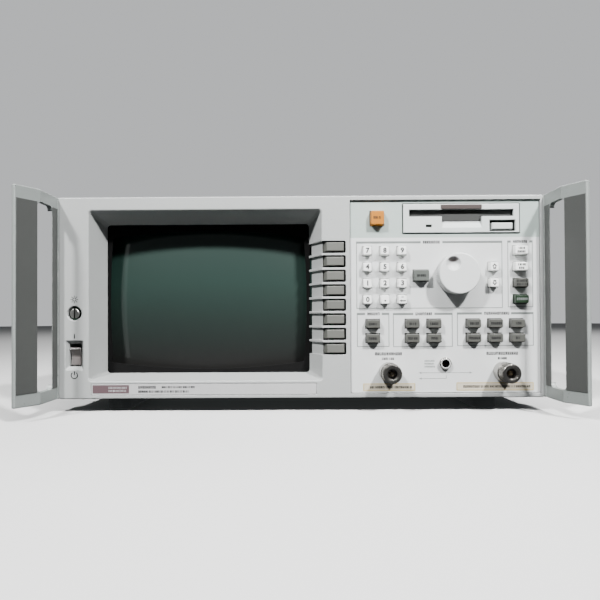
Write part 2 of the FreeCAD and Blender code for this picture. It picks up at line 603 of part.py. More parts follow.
def mains_inlet():
    """The three-blade mains inlet with its fuse drawer."""
    x, z = INLET_AT[0], up(INLET_AT[1])
    flange = block(x - 15.0, x + 15.0, REAR_D, REAR_D + 2.4, z - 24.0, z + 24.0)
    flange = flange.makeFillet(2.0, [e for e in flange.Edges if parallel(e, V(0, 1, 0))])
    body = block(x - 13.4, x + 13.4, REAR_D - 22.0, REAR_D + 0.1, z - 22.0, z + 22.0)
    well = block(x - 12.0, x + 12.0, REAR_D - 14.0, REAR_D + 5.0, z - 20.0, z - 3.6)
    drawer_seam = block(x - 11.0, x + 11.0, REAR_D + 1.6, REAR_D + 5.0, z + 1.0, z + 1.8)
    shell = fuse([flange, body]).cut(well.fuse(drawer_seam))
    blades = []
    for dx, dz in ((0.0, -8.6), (-6.0, -14.0), (6.0, -14.0)):
        blades.append(block(x + dx - 1.0, x + dx + 1.0, REAR_D - 14.1, REAR_D - 2.0, z + dz - 2.2, z + dz + 2.2))
    return fuse([shell] + blades)


def connectors():
    pieces = [type_n_jack(x, z) for x, z in PORTS]
    pieces.append(probe_jack())
    pieces += [bnc_jack(x, z) for x, z in BNCS]
    pieces += [d_sub(*spec) for spec in D_SUBS]
    pieces.append(mains_inlet())
    return Part.makeCompound(pieces)


# ---- cabinet

SHEET = 1.5
SIDE_INSET = 2.2            # from the cabinet's side to a side cover's inner face
LIP = 13.0
COVER_D = (RIM_DEPTH + GAP, REAR_D - GAP)
VENT = (2.4, 34.0)          # width and length of a cooling slot


def vent_row(x0, x1, d0, count, pitch, z):
    """Slots through a side cover, one row."""
    return [block(x0, x1, d0 + pitch * i, d0 + pitch * i + VENT[0], z, z + VENT[1]) for i in range(count)]


def cabinet_covers():
    """Top and bottom covers with turned-down lips, and the two side covers between them."""
    d0, d1 = COVER_D
    top = block(-HALF, HALF, d0, d1, Z_HIGH - LIP, Z_HIGH)
    top = top.makeFillet(2.4, [e for e in top.Edges if parallel(e, V(0, 1, 0)) and e.BoundBox.ZMin > Z_HIGH - 1])
    top = top.cut(block(-HALF + SHEET, HALF - SHEET, d0 - 1, d1 + 1, Z_HIGH - LIP - 1, Z_HIGH - SHEET))
    middle = (Z_LOW + Z_HIGH) / 2
    bottom = top.mirror(V(0, 0, middle), V(0, 0, 1))
    slots = [block(-150 + 12.0 * i, -147.6 + 12.0 * i, 380.0, 440.0, Z_LOW - 1, Z_LOW + 3) for i in range(26)]
    bottom = bottom.cut(Part.makeCompound(slots))
    top_slots = [block(-60 + 10.0 * i, -57.6 + 10.0 * i, 420.0, 462.0, Z_HIGH - 3, Z_HIGH + 1) for i in range(22)]
    top = top.cut(Part.makeCompound(top_slots))
    x0, x1 = HALF - SIDE_INSET, HALF - SIDE_INSET + SHEET
    right = block(x0, x1, d0, d1, Z_LOW + LIP + GAP, Z_HIGH - LIP - GAP)
    vents = []
    for z in (Z_LOW + 36.0, Z_LOW + 84.0):
        vents += vent_row(x0 - 1, x1 + 1, 300.0, 18, 9.0, z)
    right = right.cut(Part.makeCompound(vents))
    return Part.makeCompound([top, bottom, right, mirrored(right)])


def fan_guard(x, z):
    """Arc slots of the fan opening, left between concentric rings and four spokes."""
    rings = []
    for i in range(5):
        outer = 8.0 + 7.2 * (i + 1)
        rings.append(rod(x, z, REAR_D - 5, REAR_D + 1, outer).cut(rod(x, z, REAR_D - 6, REAR_D + 2, outer - 5.2)))
    spokes = []
    for angle in (45.0, 135.0):
        spoke = block(x - 60, x + 60, REAR_D - 6, REAR_D + 2, z - 1.6, z + 1.6)
        spoke.rotate(V(x, 0, z), V(0, 1, 0), angle)
        spokes.append(spoke)
    return Part.makeCompound(rings).cut(fuse(spokes))


def rear_panel():
    """The rear panel with its fan guard and connector openings."""
    d0, d1 = REAR_D - 2.0, REAR_D
    edge = SHEET + GAP
    wide = HALF - SIDE_INSET - GAP
    panel = block(-wide, wide, d0, d1, Z_LOW + edge, Z_HIGH - edge)
    cuts = [fan_guard(FAN_AT[0], up(FAN_AT[1]))]
    cuts += [rod(x, up(z), d0 - 1, d1 + 1, 5.1) for x, z in BNCS]
    for x, z, width in D_SUBS:
        cuts.append(block(x - width / 2 + 5.6, x + width / 2 - 5.6, d0 - 1, d1 + 1, up(z) - 5.2, up(z) + 5.2))
    x, z = INLET_AT[0], up(INLET_AT[1])
    cuts.append(block(x - 13.6, x + 13.6, d0 - 1, d1 + 1, z - 22.2, z + 22.2))
    for x, z in fan_screws():
        cuts.append(rod(x, z, d0 - 1, d1 + 1, 2.2))
    cuts += [rod(x, z, d0 - 1, d1 + 1, 2.0) for x, z in rear_screws() + foot_corners()]
    return panel.cut(Part.makeCompound(cuts))


def fan_screws():
    """Centres of the fan's four screws."""
    x, z, reach = FAN_AT[0], up(FAN_AT[1]), 41.3
    return [(x + sx * reach, z + sz * reach) for sx in (-1, 1) for sz in (-1, 1)]


def rear_screws():
    """Centres of the screws that hold the rear panel to the chassis rails."""
    return [(x, z) for x in (-150.0, 0.0, 150.0) for z in (Z_LOW + 7.5, Z_HIGH - 7.5)]


def foot_corners():
    """Centres of the four rear feet."""
    return [(sx * (HALF - 12.5), z) for sx in (-1, 1) for z in (Z_LOW + 12.5, Z_HIGH - 12.5)]


def feet():
    """Four table feet under the cabinet and four rear feet that it can stand on."""
    pieces = []
    for x in (-165.0, 165.0):
        for d in (48.0, 430.0):
            foot = block(x - 10.0, x + 10.0, d - 36.0, d + 36.0, 0, FOOT_HEIGHT)
            foot = foot.makeFillet(9.0, [e for e in foot.Edges if parallel(e, V(0, 0, 1))])
            foot = foot.makeChamfer(1.6, [e for e in foot.Edges if abs(e.BoundBox.ZMax) < 1e-6])
            pieces.append(foot)
    for x, z in foot_corners():
        foot = block(x - 12.5, x + 12.5, REAR_D, BODY_DEPTH, z - 12.5, z + 12.5)
        foot = foot.makeFillet(2.5, [e for e in foot.Edges if parallel(e, V(0, 1, 0))])
        foot = foot.makeFillet(2.0, [e for e in foot.Edges if at_depth(e, BODY_DEPTH)])
        foot = foot.cut(rod(x, z, REAR_D + 8.0, BODY_DEPTH + 1, 5.5))
        pieces.append(foot.cut(rod(x, z, REAR_D - 1, BODY_DEPTH + 1, 2.5)))
    return Part.makeCompound(pieces)


# ---- inside

RAIL = 16.0


def chassis():
    """Corner rails between the frame and the rear panel, the deck, the card guide wall, the tube cradle and
    the drive shelf."""
    inner = HALF - 2.6
    d0, d1 = RIM_DEPTH + GAP, REAR_D - 2.0
    pieces = []
    for sx in (-1, 1):
        for z in (Z_LOW + SHEET + 0.2, Z_HIGH - SHEET - 0.2 - RAIL):
            x0, x1 = sorted((sx * inner, sx * (inner - RAIL)))
            rail = block(x0, x1, d0, d1, z, z + RAIL)
            for fx, fz in foot_corners():
                rail = rail.cut(rod(fx, fz, d1 - 20.0, d1 + 1, 2.0))
            pieces.append(rail)
    deck_z = Z_LOW + SHEET + 0.2
    for z in (deck_z, Z_HIGH - SHEET - 0.2 - RAIL):
        cross = block(-inner + RAIL, inner - RAIL, d1 - 8.0, d1, z, z + RAIL)
        holes = [rod(x, hz, d1 - 10.0, d1 + 1, 1.6) for x, hz in rear_screws()]
        pieces.append(cross.cut(Part.makeCompound(holes)))
    deck = block(-inner + RAIL, inner - RAIL, d0 + 4.0, d1 - 8.0, deck_z + 2.0, deck_z + 3.5)
    wall = block(28.0, 29.5, 60.0, 440.0, deck_z + 3.5, Z_HIGH - 20.0)
    shelf = block(DRIVE[0] - 2.0, DRIVE[1] + 2.0, 34.0, 150.0, up(DRIVE[2]) - 2.4, up(DRIVE[2]) - 0.4)
    shelf_end = block(DRIVE[0] - 4.0, DRIVE[0] - 2.5, 34.0, 150.0, deck_z + 3.5, up(DRIVE[2]) - 0.4)
    shelf = fuse([shelf, shelf_end, block(DRIVE[0] - 4.0, DRIVE[0], 34.0, 150.0, up(DRIVE[2]) - 2.4, up(DRIVE[2]) - 0.4)])
    cradle = block(TUBE_X - 40.0, TUBE_X + 40.0, 118.0, 120.0, deck_z + 3.5, up(TUBE_Z) + 30.0)
    cradle = cradle.cut(rod(TUBE_X, up(TUBE_Z), 100.0, 130.0, 66.0))
    return Part.makeCompound(pieces + [deck, wall, shelf, cradle])


def circuit_boards():
    """Key board, softkey board, processor board, two signal boards and the tube's neck board."""
    inner_top = Z_HIGH - 22.0
    keys = block(47.0, 206.0, 11.2, 12.8, up(40.0), up(142.0))
    keys = keys.cut(rod(KNOB_AT[0], up(KNOB_AT[1]), 5.0, 15.0, 9.0))
    begin = block(50.0, 84.0, 11.2, 12.8, up(148.0), up(167.0))
    encoder = rod(KNOB_AT[0], up(KNOB_AT[1]), 6.4, 20.0, 8.6).cut(
        rod(KNOB_AT[0], up(KNOB_AT[1]), 0.0, 22.0, SHAFT_R + 0.06))
    softkeys = block(23.0, 41.0, 15.6, 17.2, up(36.0), up(140.0))
    processor = block(34.0, 200.0, 190.0, 470.0, up(150.0), up(151.6))
    signals = [block(x, x + 1.6, 190.0, 440.0, up(20.0), inner_top - 20.0) for x in (60.0, 190.0)]
    neck = block(TUBE_X - 30.0, TUBE_X + 30.0, 245.0, 246.6, up(TUBE_Z) - 30.0, up(TUBE_Z) + 30.0)
    pot = rod(ADJUSTER_AT[0], up(ADJUSTER_AT[1]), 9.0, 16.0, 7.5).cut(
        rod(ADJUSTER_AT[0], up(ADJUSTER_AT[1]), 8.0, 18.0, SHAFT_R + 0.06))
    return Part.makeCompound([keys, begin, encoder, softkeys, processor, neck, pot] + signals)


def shield_can(x0, x1, d0, d1, z0, z1):
    """A sheet-metal can, open underneath."""
    can = block(x0, x1, d0, d1, z0, z1)
    can = can.makeFillet(2.0, [e for e in can.Edges if parallel(e, V(0, 0, 1))])
    return can.cut(block(x0 + SHEET, x1 - SHEET, d0 + SHEET, d1 - SHEET, z0 - 1.0, z1 - SHEET))


def shield_cans():
    """Power supply, source module, receiver module and the tube's deflection yoke."""
    floor = Z_LOW + SHEET + 4.0
    x, z = TUBE_X, up(TUBE_Z)
    return Part.makeCompound([
        shield_can(-190.0, -30.0, 270.0, 440.0, floor, up(140.0)),
        shield_can(68.0, 184.0, 200.0, 310.0, floor, up(60.0)),
        shield_can(68.0, 184.0, 320.0, 430.0, floor, up(60.0)),
        rod(x, z, 168.0, 200.0, 34.0).cut(rod(x, z, 160.0, 210.0, 14.6)),
    ])


def fan_housing():
    x, z = FAN_AT[0], up(FAN_AT[1])
    d1 = REAR_D - 2.0
    d0 = d1 - FAN_DEPTH
    half = FAN_SIZE / 2
    housing = block(x - half, x + half, d0, d1, z - half, z + half)
    housing = housing.makeFillet(4.0, [e for e in housing.Edges if parallel(e, V(0, 1, 0))])
    housing = housing.cut(rod(x, z, d0 - 1, d1 + 1, FAN_R + 1.0))
    hub = rod(x, z, d0, d0 + 3.0, 18.0).cut(rod(x, z, d0 - 1, d0 + 5, 2.05))
    struts = []
    for angle in (0.0, 60.0, 120.0):
        strut = block(x - half + 1, x + half - 1, d0, d0 + 3.0, z - 2.0, z + 2.0)
        strut.rotate(V(x, 0, z), V(0, 1, 0), angle)
        struts.append(strut.cut(rod(x, z, d0 - 1, d0 + 5, 10.0)))
    housing = fuse([housing, hub] + struts)
    return housing.cut(Part.makeCompound([rod(fx, fz, d0 - 1, d1 + 1, 2.2) for fx, fz in fan_screws()]))


def fan_rotor():
    """Hub, axle and seven pitched blades."""
    x, z = FAN_AT[0], up(FAN_AT[1])
    back = REAR_D - 2.0 - 2.0
    front = REAR_D - 2.0 - FAN_DEPTH + 4.2
    hub = rod(x, z, front, back, 17.0)
    hub = hub.makeFillet(2.0, [e for e in hub.Edges if at_depth(e, back)])
    axle = rod(x, z, front - 4.0, front + 1.0, 2.0)
    blades = []
    count = 7
    middle = (front + back) / 2
    for i in range(count):
        blade = block(x - 1.0, x + 1.0, middle - 10.5, middle + 10.5, z + 15.0, z + FAN_R - 1.8)
        blade.rotate(V(x, FRONT_Y + middle, z), V(0, 0, 1), 50.0)
        blade = blade.common(rod(x, z, front, back, FAN_R - 1.6))
        blade.rotate(V(x, 0, z), V(0, 1, 0), 360.0 * i / count)
        blades.append(blade)
    return fuse([hub, axle] + blades)


def screw(x, d, z, direction, shank_r, length, head_r, head):
    """A pan-head screw whose head starts at the given point and whose shank runs the other way."""
    at = V(x, FRONT_Y + d, z)
    cap = Part.makeCylinder(head_r, head, at, direction)
    cap = cap.makeChamfer(head * 0.35, [e for e in cap.Edges
                                        if abs((e.BoundBox.Center - (at + direction * head)).dot(direction)) < 1e-6
                                        and not parallel(e, direction)])
    shank = Part.makeCylinder(shank_r, length + 0.1, at + direction * 0.1, direction * -1)
    slot_depth = head * 0.5
    cross = []
    for half in ((head_r * 0.6, 0.35), (0.35, head_r * 0.6)):
        bar = Part.makeBox(2 * half[0], 2 * half[1], slot_depth + 1, V(-half[0], -half[1], head - slot_depth))
        bar.Placement = FreeCAD.Placement(at, FreeCAD.Rotation(V(0, 0, 1), direction))
        cross.append(bar)
    return fuse([cap, shank]).cut(fuse(cross))


def screws():
    """Handle screws, rear panel screws, fan screws and rear foot screws."""
    pieces = []
    for z in HANDLE_SCREW_Z:
        for sx in (-1, 1):
            pieces.append(screw(sx * (OUTER_X - 1.8), HANDLE_SCREW_D, z, V(sx, 0, 0), 1.9, 8.0, 3.7, 1.6))
    for x, z in rear_screws():
        pieces.append(screw(x, REAR_D, z, V(0, 1, 0), 1.5, 9.0, 3.0, 1.8))
    for x, z in fan_screws():
        pieces.append(screw(x, REAR_D, z, V(0, 1, 0), 1.9, 24.0, 3.6, 2.0))
    for x, z in foot_corners():
        pieces.append(screw(x, REAR_D + 8.0, z, V(0, 1, 0), 1.9, 24.0, 4.2, 2.6))
    return Part.makeCompound(pieces)


def nodes():
    """Every sub-part by node name."""
    made = {
        "front_frame": front_frame(),
        "control_panel": control_panel(),
        "front_handles": front_handles(),
        "display_tube": display_tube(),
        "tuning_knob": tuning_knob(),
        "brightness_adjuster": brightness_adjuster(),
        "line_switch_rocker": line_switch_rocker(),
        "disk_drive": disk_drive(),
        "disk_door": disk_door(),
        "disk_eject_button": disk_eject_button(),
        "connectors": connectors(),
        "cabinet_covers": cabinet_covers(),
        "rear_panel": rear_panel(),
        "feet": feet(),
        "chassis": chassis(),
        "circuit_boards": circuit_boards(),
        "shield_cans": shield_cans(),
        "fan_housing": fan_housing(),
        "fan_rotor": fan_rotor(),
        "screws": screws(),
    }
    for i in range(SOFTKEY_COUNT):
        made[f"softkey_{i + 1}"] = softkey(i)
    for name, spec in key_table().items():
        made[name] = panel_key(*spec)
    return made


def main():
    os.makedirs("parts", exist_ok=True)
    for name, shape in nodes().items():
        if not shape.isValid():
            print("not valid:", name)
        shape.exportStep(f"parts/{name}.step")


main()
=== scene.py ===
import math
import random

import bmesh
import bpy
from mathutils import Matrix, Vector


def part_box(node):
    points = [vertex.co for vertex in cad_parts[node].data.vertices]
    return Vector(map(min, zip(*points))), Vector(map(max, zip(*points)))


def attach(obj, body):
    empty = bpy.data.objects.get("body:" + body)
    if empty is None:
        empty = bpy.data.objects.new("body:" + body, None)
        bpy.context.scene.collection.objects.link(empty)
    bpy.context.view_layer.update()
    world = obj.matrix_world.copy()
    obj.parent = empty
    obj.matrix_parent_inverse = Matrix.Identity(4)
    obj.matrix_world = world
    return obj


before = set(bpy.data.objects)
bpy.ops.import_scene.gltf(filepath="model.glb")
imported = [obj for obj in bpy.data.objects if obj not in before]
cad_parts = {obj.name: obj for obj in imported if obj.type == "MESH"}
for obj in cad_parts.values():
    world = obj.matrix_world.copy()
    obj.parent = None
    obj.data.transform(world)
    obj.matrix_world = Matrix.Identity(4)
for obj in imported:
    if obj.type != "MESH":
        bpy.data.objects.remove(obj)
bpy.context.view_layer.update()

# ---- the CAD's directions, in mm: x across, d backwards from the frame's face, z up from its underside

MM = 0.001
FRAME_LOW, FRAME_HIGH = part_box("front_frame")
FACE_Y = FRAME_LOW.y
BASE_Z = FRAME_LOW.z
WIDTH = (FRAME_HIGH.x - FRAME_LOW.x) / MM
HEIGHT = (FRAME_HIGH.z - FRAME_LOW.z) / MM
PANEL_D = (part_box("control_panel")[0].y - FACE_Y) / MM
REAR_D = (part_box("rear_panel")[1].y - FACE_Y) / MM
TEXT_SEED = 7


def at(x, d, z):
    """A point in metres from its distances in mm."""
    return Vector((x * MM, FACE_Y + d * MM, BASE_Z + z * MM))


def face_of(node):
    """Middle x, face d and middle z of a CAD node's front, in mm."""
    low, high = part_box(node)
    return (low.x + high.x) / 2 / MM, (low.y - FACE_Y) / MM, ((low.z + high.z) / 2 - BASE_Z) / MM


# ---- materials

def new_material(name):
    material = bpy.data.materials.new(name)
    material.use_nodes = True
    tree = material.node_tree
    tree.nodes.clear()
    return material, tree


def link(tree, source, target):
    tree.links.new(source, target)


def add(tree, kind, **values):
    """Adds a node. A value goes to the input of that name, or else to the node's property."""
    node = tree.nodes.new(kind)
    for key, value in values.items():
        if key in node.inputs:
            node.inputs[key].default_value = value
        else:
            setattr(node, key, value)
    return node


def noise(tree, vector, scale, detail=3.0, roughness=0.55):
    node = add(tree, "ShaderNodeTexNoise", Scale=scale, Detail=detail, Roughness=roughness)
    link(tree, vector, node.inputs["Vector"])
    return node.outputs["Fac"]


def stretched(tree, vector, scale):
    """Coordinates scaled apart on each axis, for a grain that runs one way."""
    node = add(tree, "ShaderNodeMapping", Scale=scale)
    link(tree, vector, node.inputs["Vector"])
    return node.outputs["Vector"]


def remap(tree, value, low, high, to_low=0.0, to_high=1.0):
    node = tree.nodes.new("ShaderNodeMapRange")
    for socket, number in zip(node.inputs[1:5], (low, high, to_low, to_high)):
        socket.default_value = number
    link(tree, value, node.inputs[0])
    return node.outputs[0]


def blended(tree, factor, first, second):
    """Mix of two colours. Each is a socket or an rgb triple."""
    node = tree.nodes.new("ShaderNodeMix")
    node.data_type = "RGBA"
    link(tree, factor, node.inputs[0])
    for socket, colour in ((node.inputs[6], first), (node.inputs[7], second)):
        if isinstance(colour, tuple):
            socket.default_value = (*colour, 1.0)
        else:
            link(tree, colour, socket)
    return node.outputs[2]


def maths(tree, operation, first, second=0.0):
    node = add(tree, "ShaderNodeMath", operation=operation)
    for socket, value in zip(node.inputs, (first, second)):
        if isinstance(value, float):
            socket.default_value = value
        else:
            link(tree, value, socket)
    return node.outputs[0]


def scaled(colour, factor):
    return tuple(min(1.0, c * factor) for c in colour)


def axis_of(tree, vector, axis):
    node = tree.nodes.new("ShaderNodeSeparateXYZ")
    link(tree, vector, node.inputs[0])
    return node.outputs[axis]


BROAD_SCALE = 22.0          # slow drift of tone across a part
MOTTLE_SCALE = 190.0        # millimetre-sized mottle
SPECK_SCALE = 420.0
WEAR_SCALE = 75.0           # patches of wear along an edge
MOTTLE_ROUGHNESS = 0.14     # how far each noise changes the roughness
GRAIN_ROUGHNESS = 0.10


def finish(name, colour, rough, tone=0.06, grain=(900.0, 0.25), depth=0.00002, edge=None,
           edge_radius=0.0006, brushed=None, metallic=0.0, coat=0.0, coat_rough=0.1, spots=0.0,
           recolour=None, specular=0.5):
    """A surface with uneven tone, grain in its bump and roughness, and worn or soiled edges.

    tone is how far the tone drifts, grain the scale and strength of the fine texture, and depth its
    height in metres. edge is the colour that a worn edge shows, which on the rocker paints a highlight,
    brushed the stretch of a drawn grain, spots the share of small specks, and recolour a function
    that changes the colour by place, in some materials to paint shade.
    """
    material, tree = new_material(name)
    place = add(tree, "ShaderNodeTexCoord").outputs["Object"]
    grain_place = stretched(tree, place, brushed) if brushed else place
    fine = noise(tree, grain_place, grain[0], 4.0)
    broad = noise(tree, place, BROAD_SCALE, 3.0)
    mottle = noise(tree, place, MOTTLE_SCALE, 4.0, 0.65)
    drift = remap(tree, maths(tree, "ADD", broad, mottle), 0.7, 1.3)
    shade = blended(tree, drift, scaled(colour, 1.0 - tone), scaled(colour, 1.0 + tone * 0.6))
    shade = blended(tree, remap(tree, fine, 0.35, 0.65, 0.0, 0.35), shade, scaled(colour, 1.0 - 1.6 * tone))
    if recolour:
        shade = recolour(tree, place, shade, drift)
    if spots:
        speck = remap(tree, noise(tree, place, SPECK_SCALE, 2.0), 0.72 - spots, 0.74 - spots)
        shade = blended(tree, maths(tree, "MULTIPLY", speck, 0.5), shade, scaled(colour, 0.55))
    bevel = add(tree, "ShaderNodeBevel", samples=4, Radius=edge_radius)
    if edge:
        geometry = tree.nodes.new("ShaderNodeNewGeometry")
        dot = add(tree, "ShaderNodeVectorMath", operation="DOT_PRODUCT")
        link(tree, bevel.outputs[0], dot.inputs[0])
        link(tree, geometry.outputs["Normal"], dot.inputs[1])
        edge_wear_and_highlight = remap(tree, dot.outputs["Value"], 0.985, 0.86)
        patchy = remap(tree, noise(tree, place, WEAR_SCALE, 4.0, 0.7), 0.42, 0.62)
        shade = blended(tree, maths(tree, "MULTIPLY", edge_wear_and_highlight, patchy), shade, edge)
    shader = add(tree, "ShaderNodeBsdfPrincipled", Metallic=metallic)
    shader.inputs["Coat Weight"].default_value = coat
    shader.inputs["Coat Roughness"].default_value = coat_rough
    shader.inputs["Specular IOR Level"].default_value = specular
    link(tree, shade, shader.inputs["Base Color"])
    coarse_part = maths(tree, "MULTIPLY", mottle, MOTTLE_ROUGHNESS)
    fine_part = maths(tree, "MULTIPLY", fine, GRAIN_ROUGHNESS)
    centred = rough - (MOTTLE_ROUGHNESS + GRAIN_ROUGHNESS) / 2
    rough_now = maths(tree, "ADD", maths(tree, "ADD", coarse_part, fine_part), centred)
    link(tree, rough_now, shader.inputs["Roughness"])
    bump = add(tree, "ShaderNodeBump", Strength=grain[1], Distance=depth)
    link(tree, fine, bump.inputs["Height"])
    link(tree, bevel.outputs[0], bump.inputs["Normal"])
    link(tree, bump.outputs[0], shader.inputs["Normal"])
    output = tree.nodes.new("ShaderNodeOutputMaterial")
    link(tree, shader.outputs[0], output.inputs["Surface"])
    return material


def step_above(tree, place, axis, value, softness=0.0002):
    """0 below that coordinate and 1 above it."""
    return remap(tree, axis_of(tree, place, axis), value - softness, value + softness)


PANEL_WHITE = (0.56, 0.572, 0.568)
PANEL_BAND = (0.34, 0.40, 0.375)
BAND_Z = BASE_Z + 140.0 * MM
PHOSPHOR = (0.008, 0.023, 0.018)
# colour of the painted shade on the lower part of the tube's face
PHOSPHOR_PAINTED_SHADE = (0.009, 0.009, 0.0085)
GRAPHITE = (0.02, 0.02, 0.021)
# colour of the painted shade in the knob's finger dish
DISH_PAINTED_SHADE = (0.10, 0.088, 0.088)
# colour of the painted shade in the adjuster's slot
SLOT_PAINTED_SHADE = (0.02, 0.019, 0.018)
# dark case colour that also paints the shade inside the drive's slot
DRIVE_CASE_AND_SHADE = (0.03, 0.031, 0.031)
INLET_BLACK = (0.025, 0.025, 0.026)
DISH_AT = (-5.4, 13.1)      # middle of the painted shade in the upper half of the knob's finger dish, from the knob's middle


# each of these takes the same four values, because finish calls it as its recolour

def panel_band(tree, place, shade, drift):
    """The darker band across the top of the control panel."""
    band = blended(tree, drift, scaled(PANEL_BAND, 0.97), scaled(PANEL_BAND, 1.03))
    return blended(tree, step_above(tree, place, 2, BAND_Z), shade, band)


def phosphor(tree, place, shade, drift):
    """Grey-green phosphor behind the faceplate, with painted shade darkening it low down, and a graphite
    coating behind it.
    """
    tube_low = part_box("display_tube")[0]
    rise = remap(tree, axis_of(tree, place, 2), tube_low.z + 0.012, tube_low.z + 0.085)
    low = blended(tree, rise, PHOSPHOR_PAINTED_SHADE, shade)
    return blended(tree, step_above(tree, place, 1, tube_low.y + 0.022), low, GRAPHITE)


def finger_dish(tree, place, shade, drift):
    """Painted shade darkens the knob's finger dish, most of all under its upper rim."""
    knob_x, knob_d, knob_z = face_of("tuning_knob")
    gap = add(tree, "ShaderNodeVectorMath", operation="DISTANCE")
    link(tree, place, gap.inputs[0])
    gap.inputs[1].default_value = at(knob_x + DISH_AT[0], knob_d, knob_z + DISH_AT[1])
    inside = remap(tree, gap.outputs["Value"], 4.3 * MM, 5.2 * MM, 1.0, 0.0)
    shade_depth = remap(tree, axis_of(tree, place, 1), FACE_Y + (knob_d + 0.25) * MM, FACE_Y + (knob_d + 1.2) * MM)
    return blended(tree, maths(tree, "MULTIPLY", inside, shade_depth), shade, DISH_PAINTED_SHADE)


def adjuster_slot(tree, place, shade, drift):
    """Painted shade darkens the adjuster's slot, from 0.7 mm behind its face."""
    shade_depth = step_above(tree, place, 1, FACE_Y + (face_of("brightness_adjuster")[1] + 0.7) * MM, 0.0003)
    return blended(tree, shade_depth, shade, SLOT_PAINTED_SHADE)


def drive_inside(tree, place, shade, drift):
    """Behind its bezel the drive is dark: its case is dark metal, and the dark colour also paints the shade
    inside the slot.
    """
    return blended(tree, step_above(tree, place, 1, FACE_Y + 3.2 * MM, 0.0008), shade, DRIVE_CASE_AND_SHADE)


def rear_sockets(tree, place, shade, drift):
    """The mains inlet, at the far left of the back, is black plastic."""
    behind = step_above(tree, place, 1, 0.0)
    left = maths(tree, "SUBTRACT", 1.0, step_above(tree, place, 0, -0.1))
    return blended(tree, maths(tree, "MULTIPLY", behind, left), shade, INLET_BLACK)


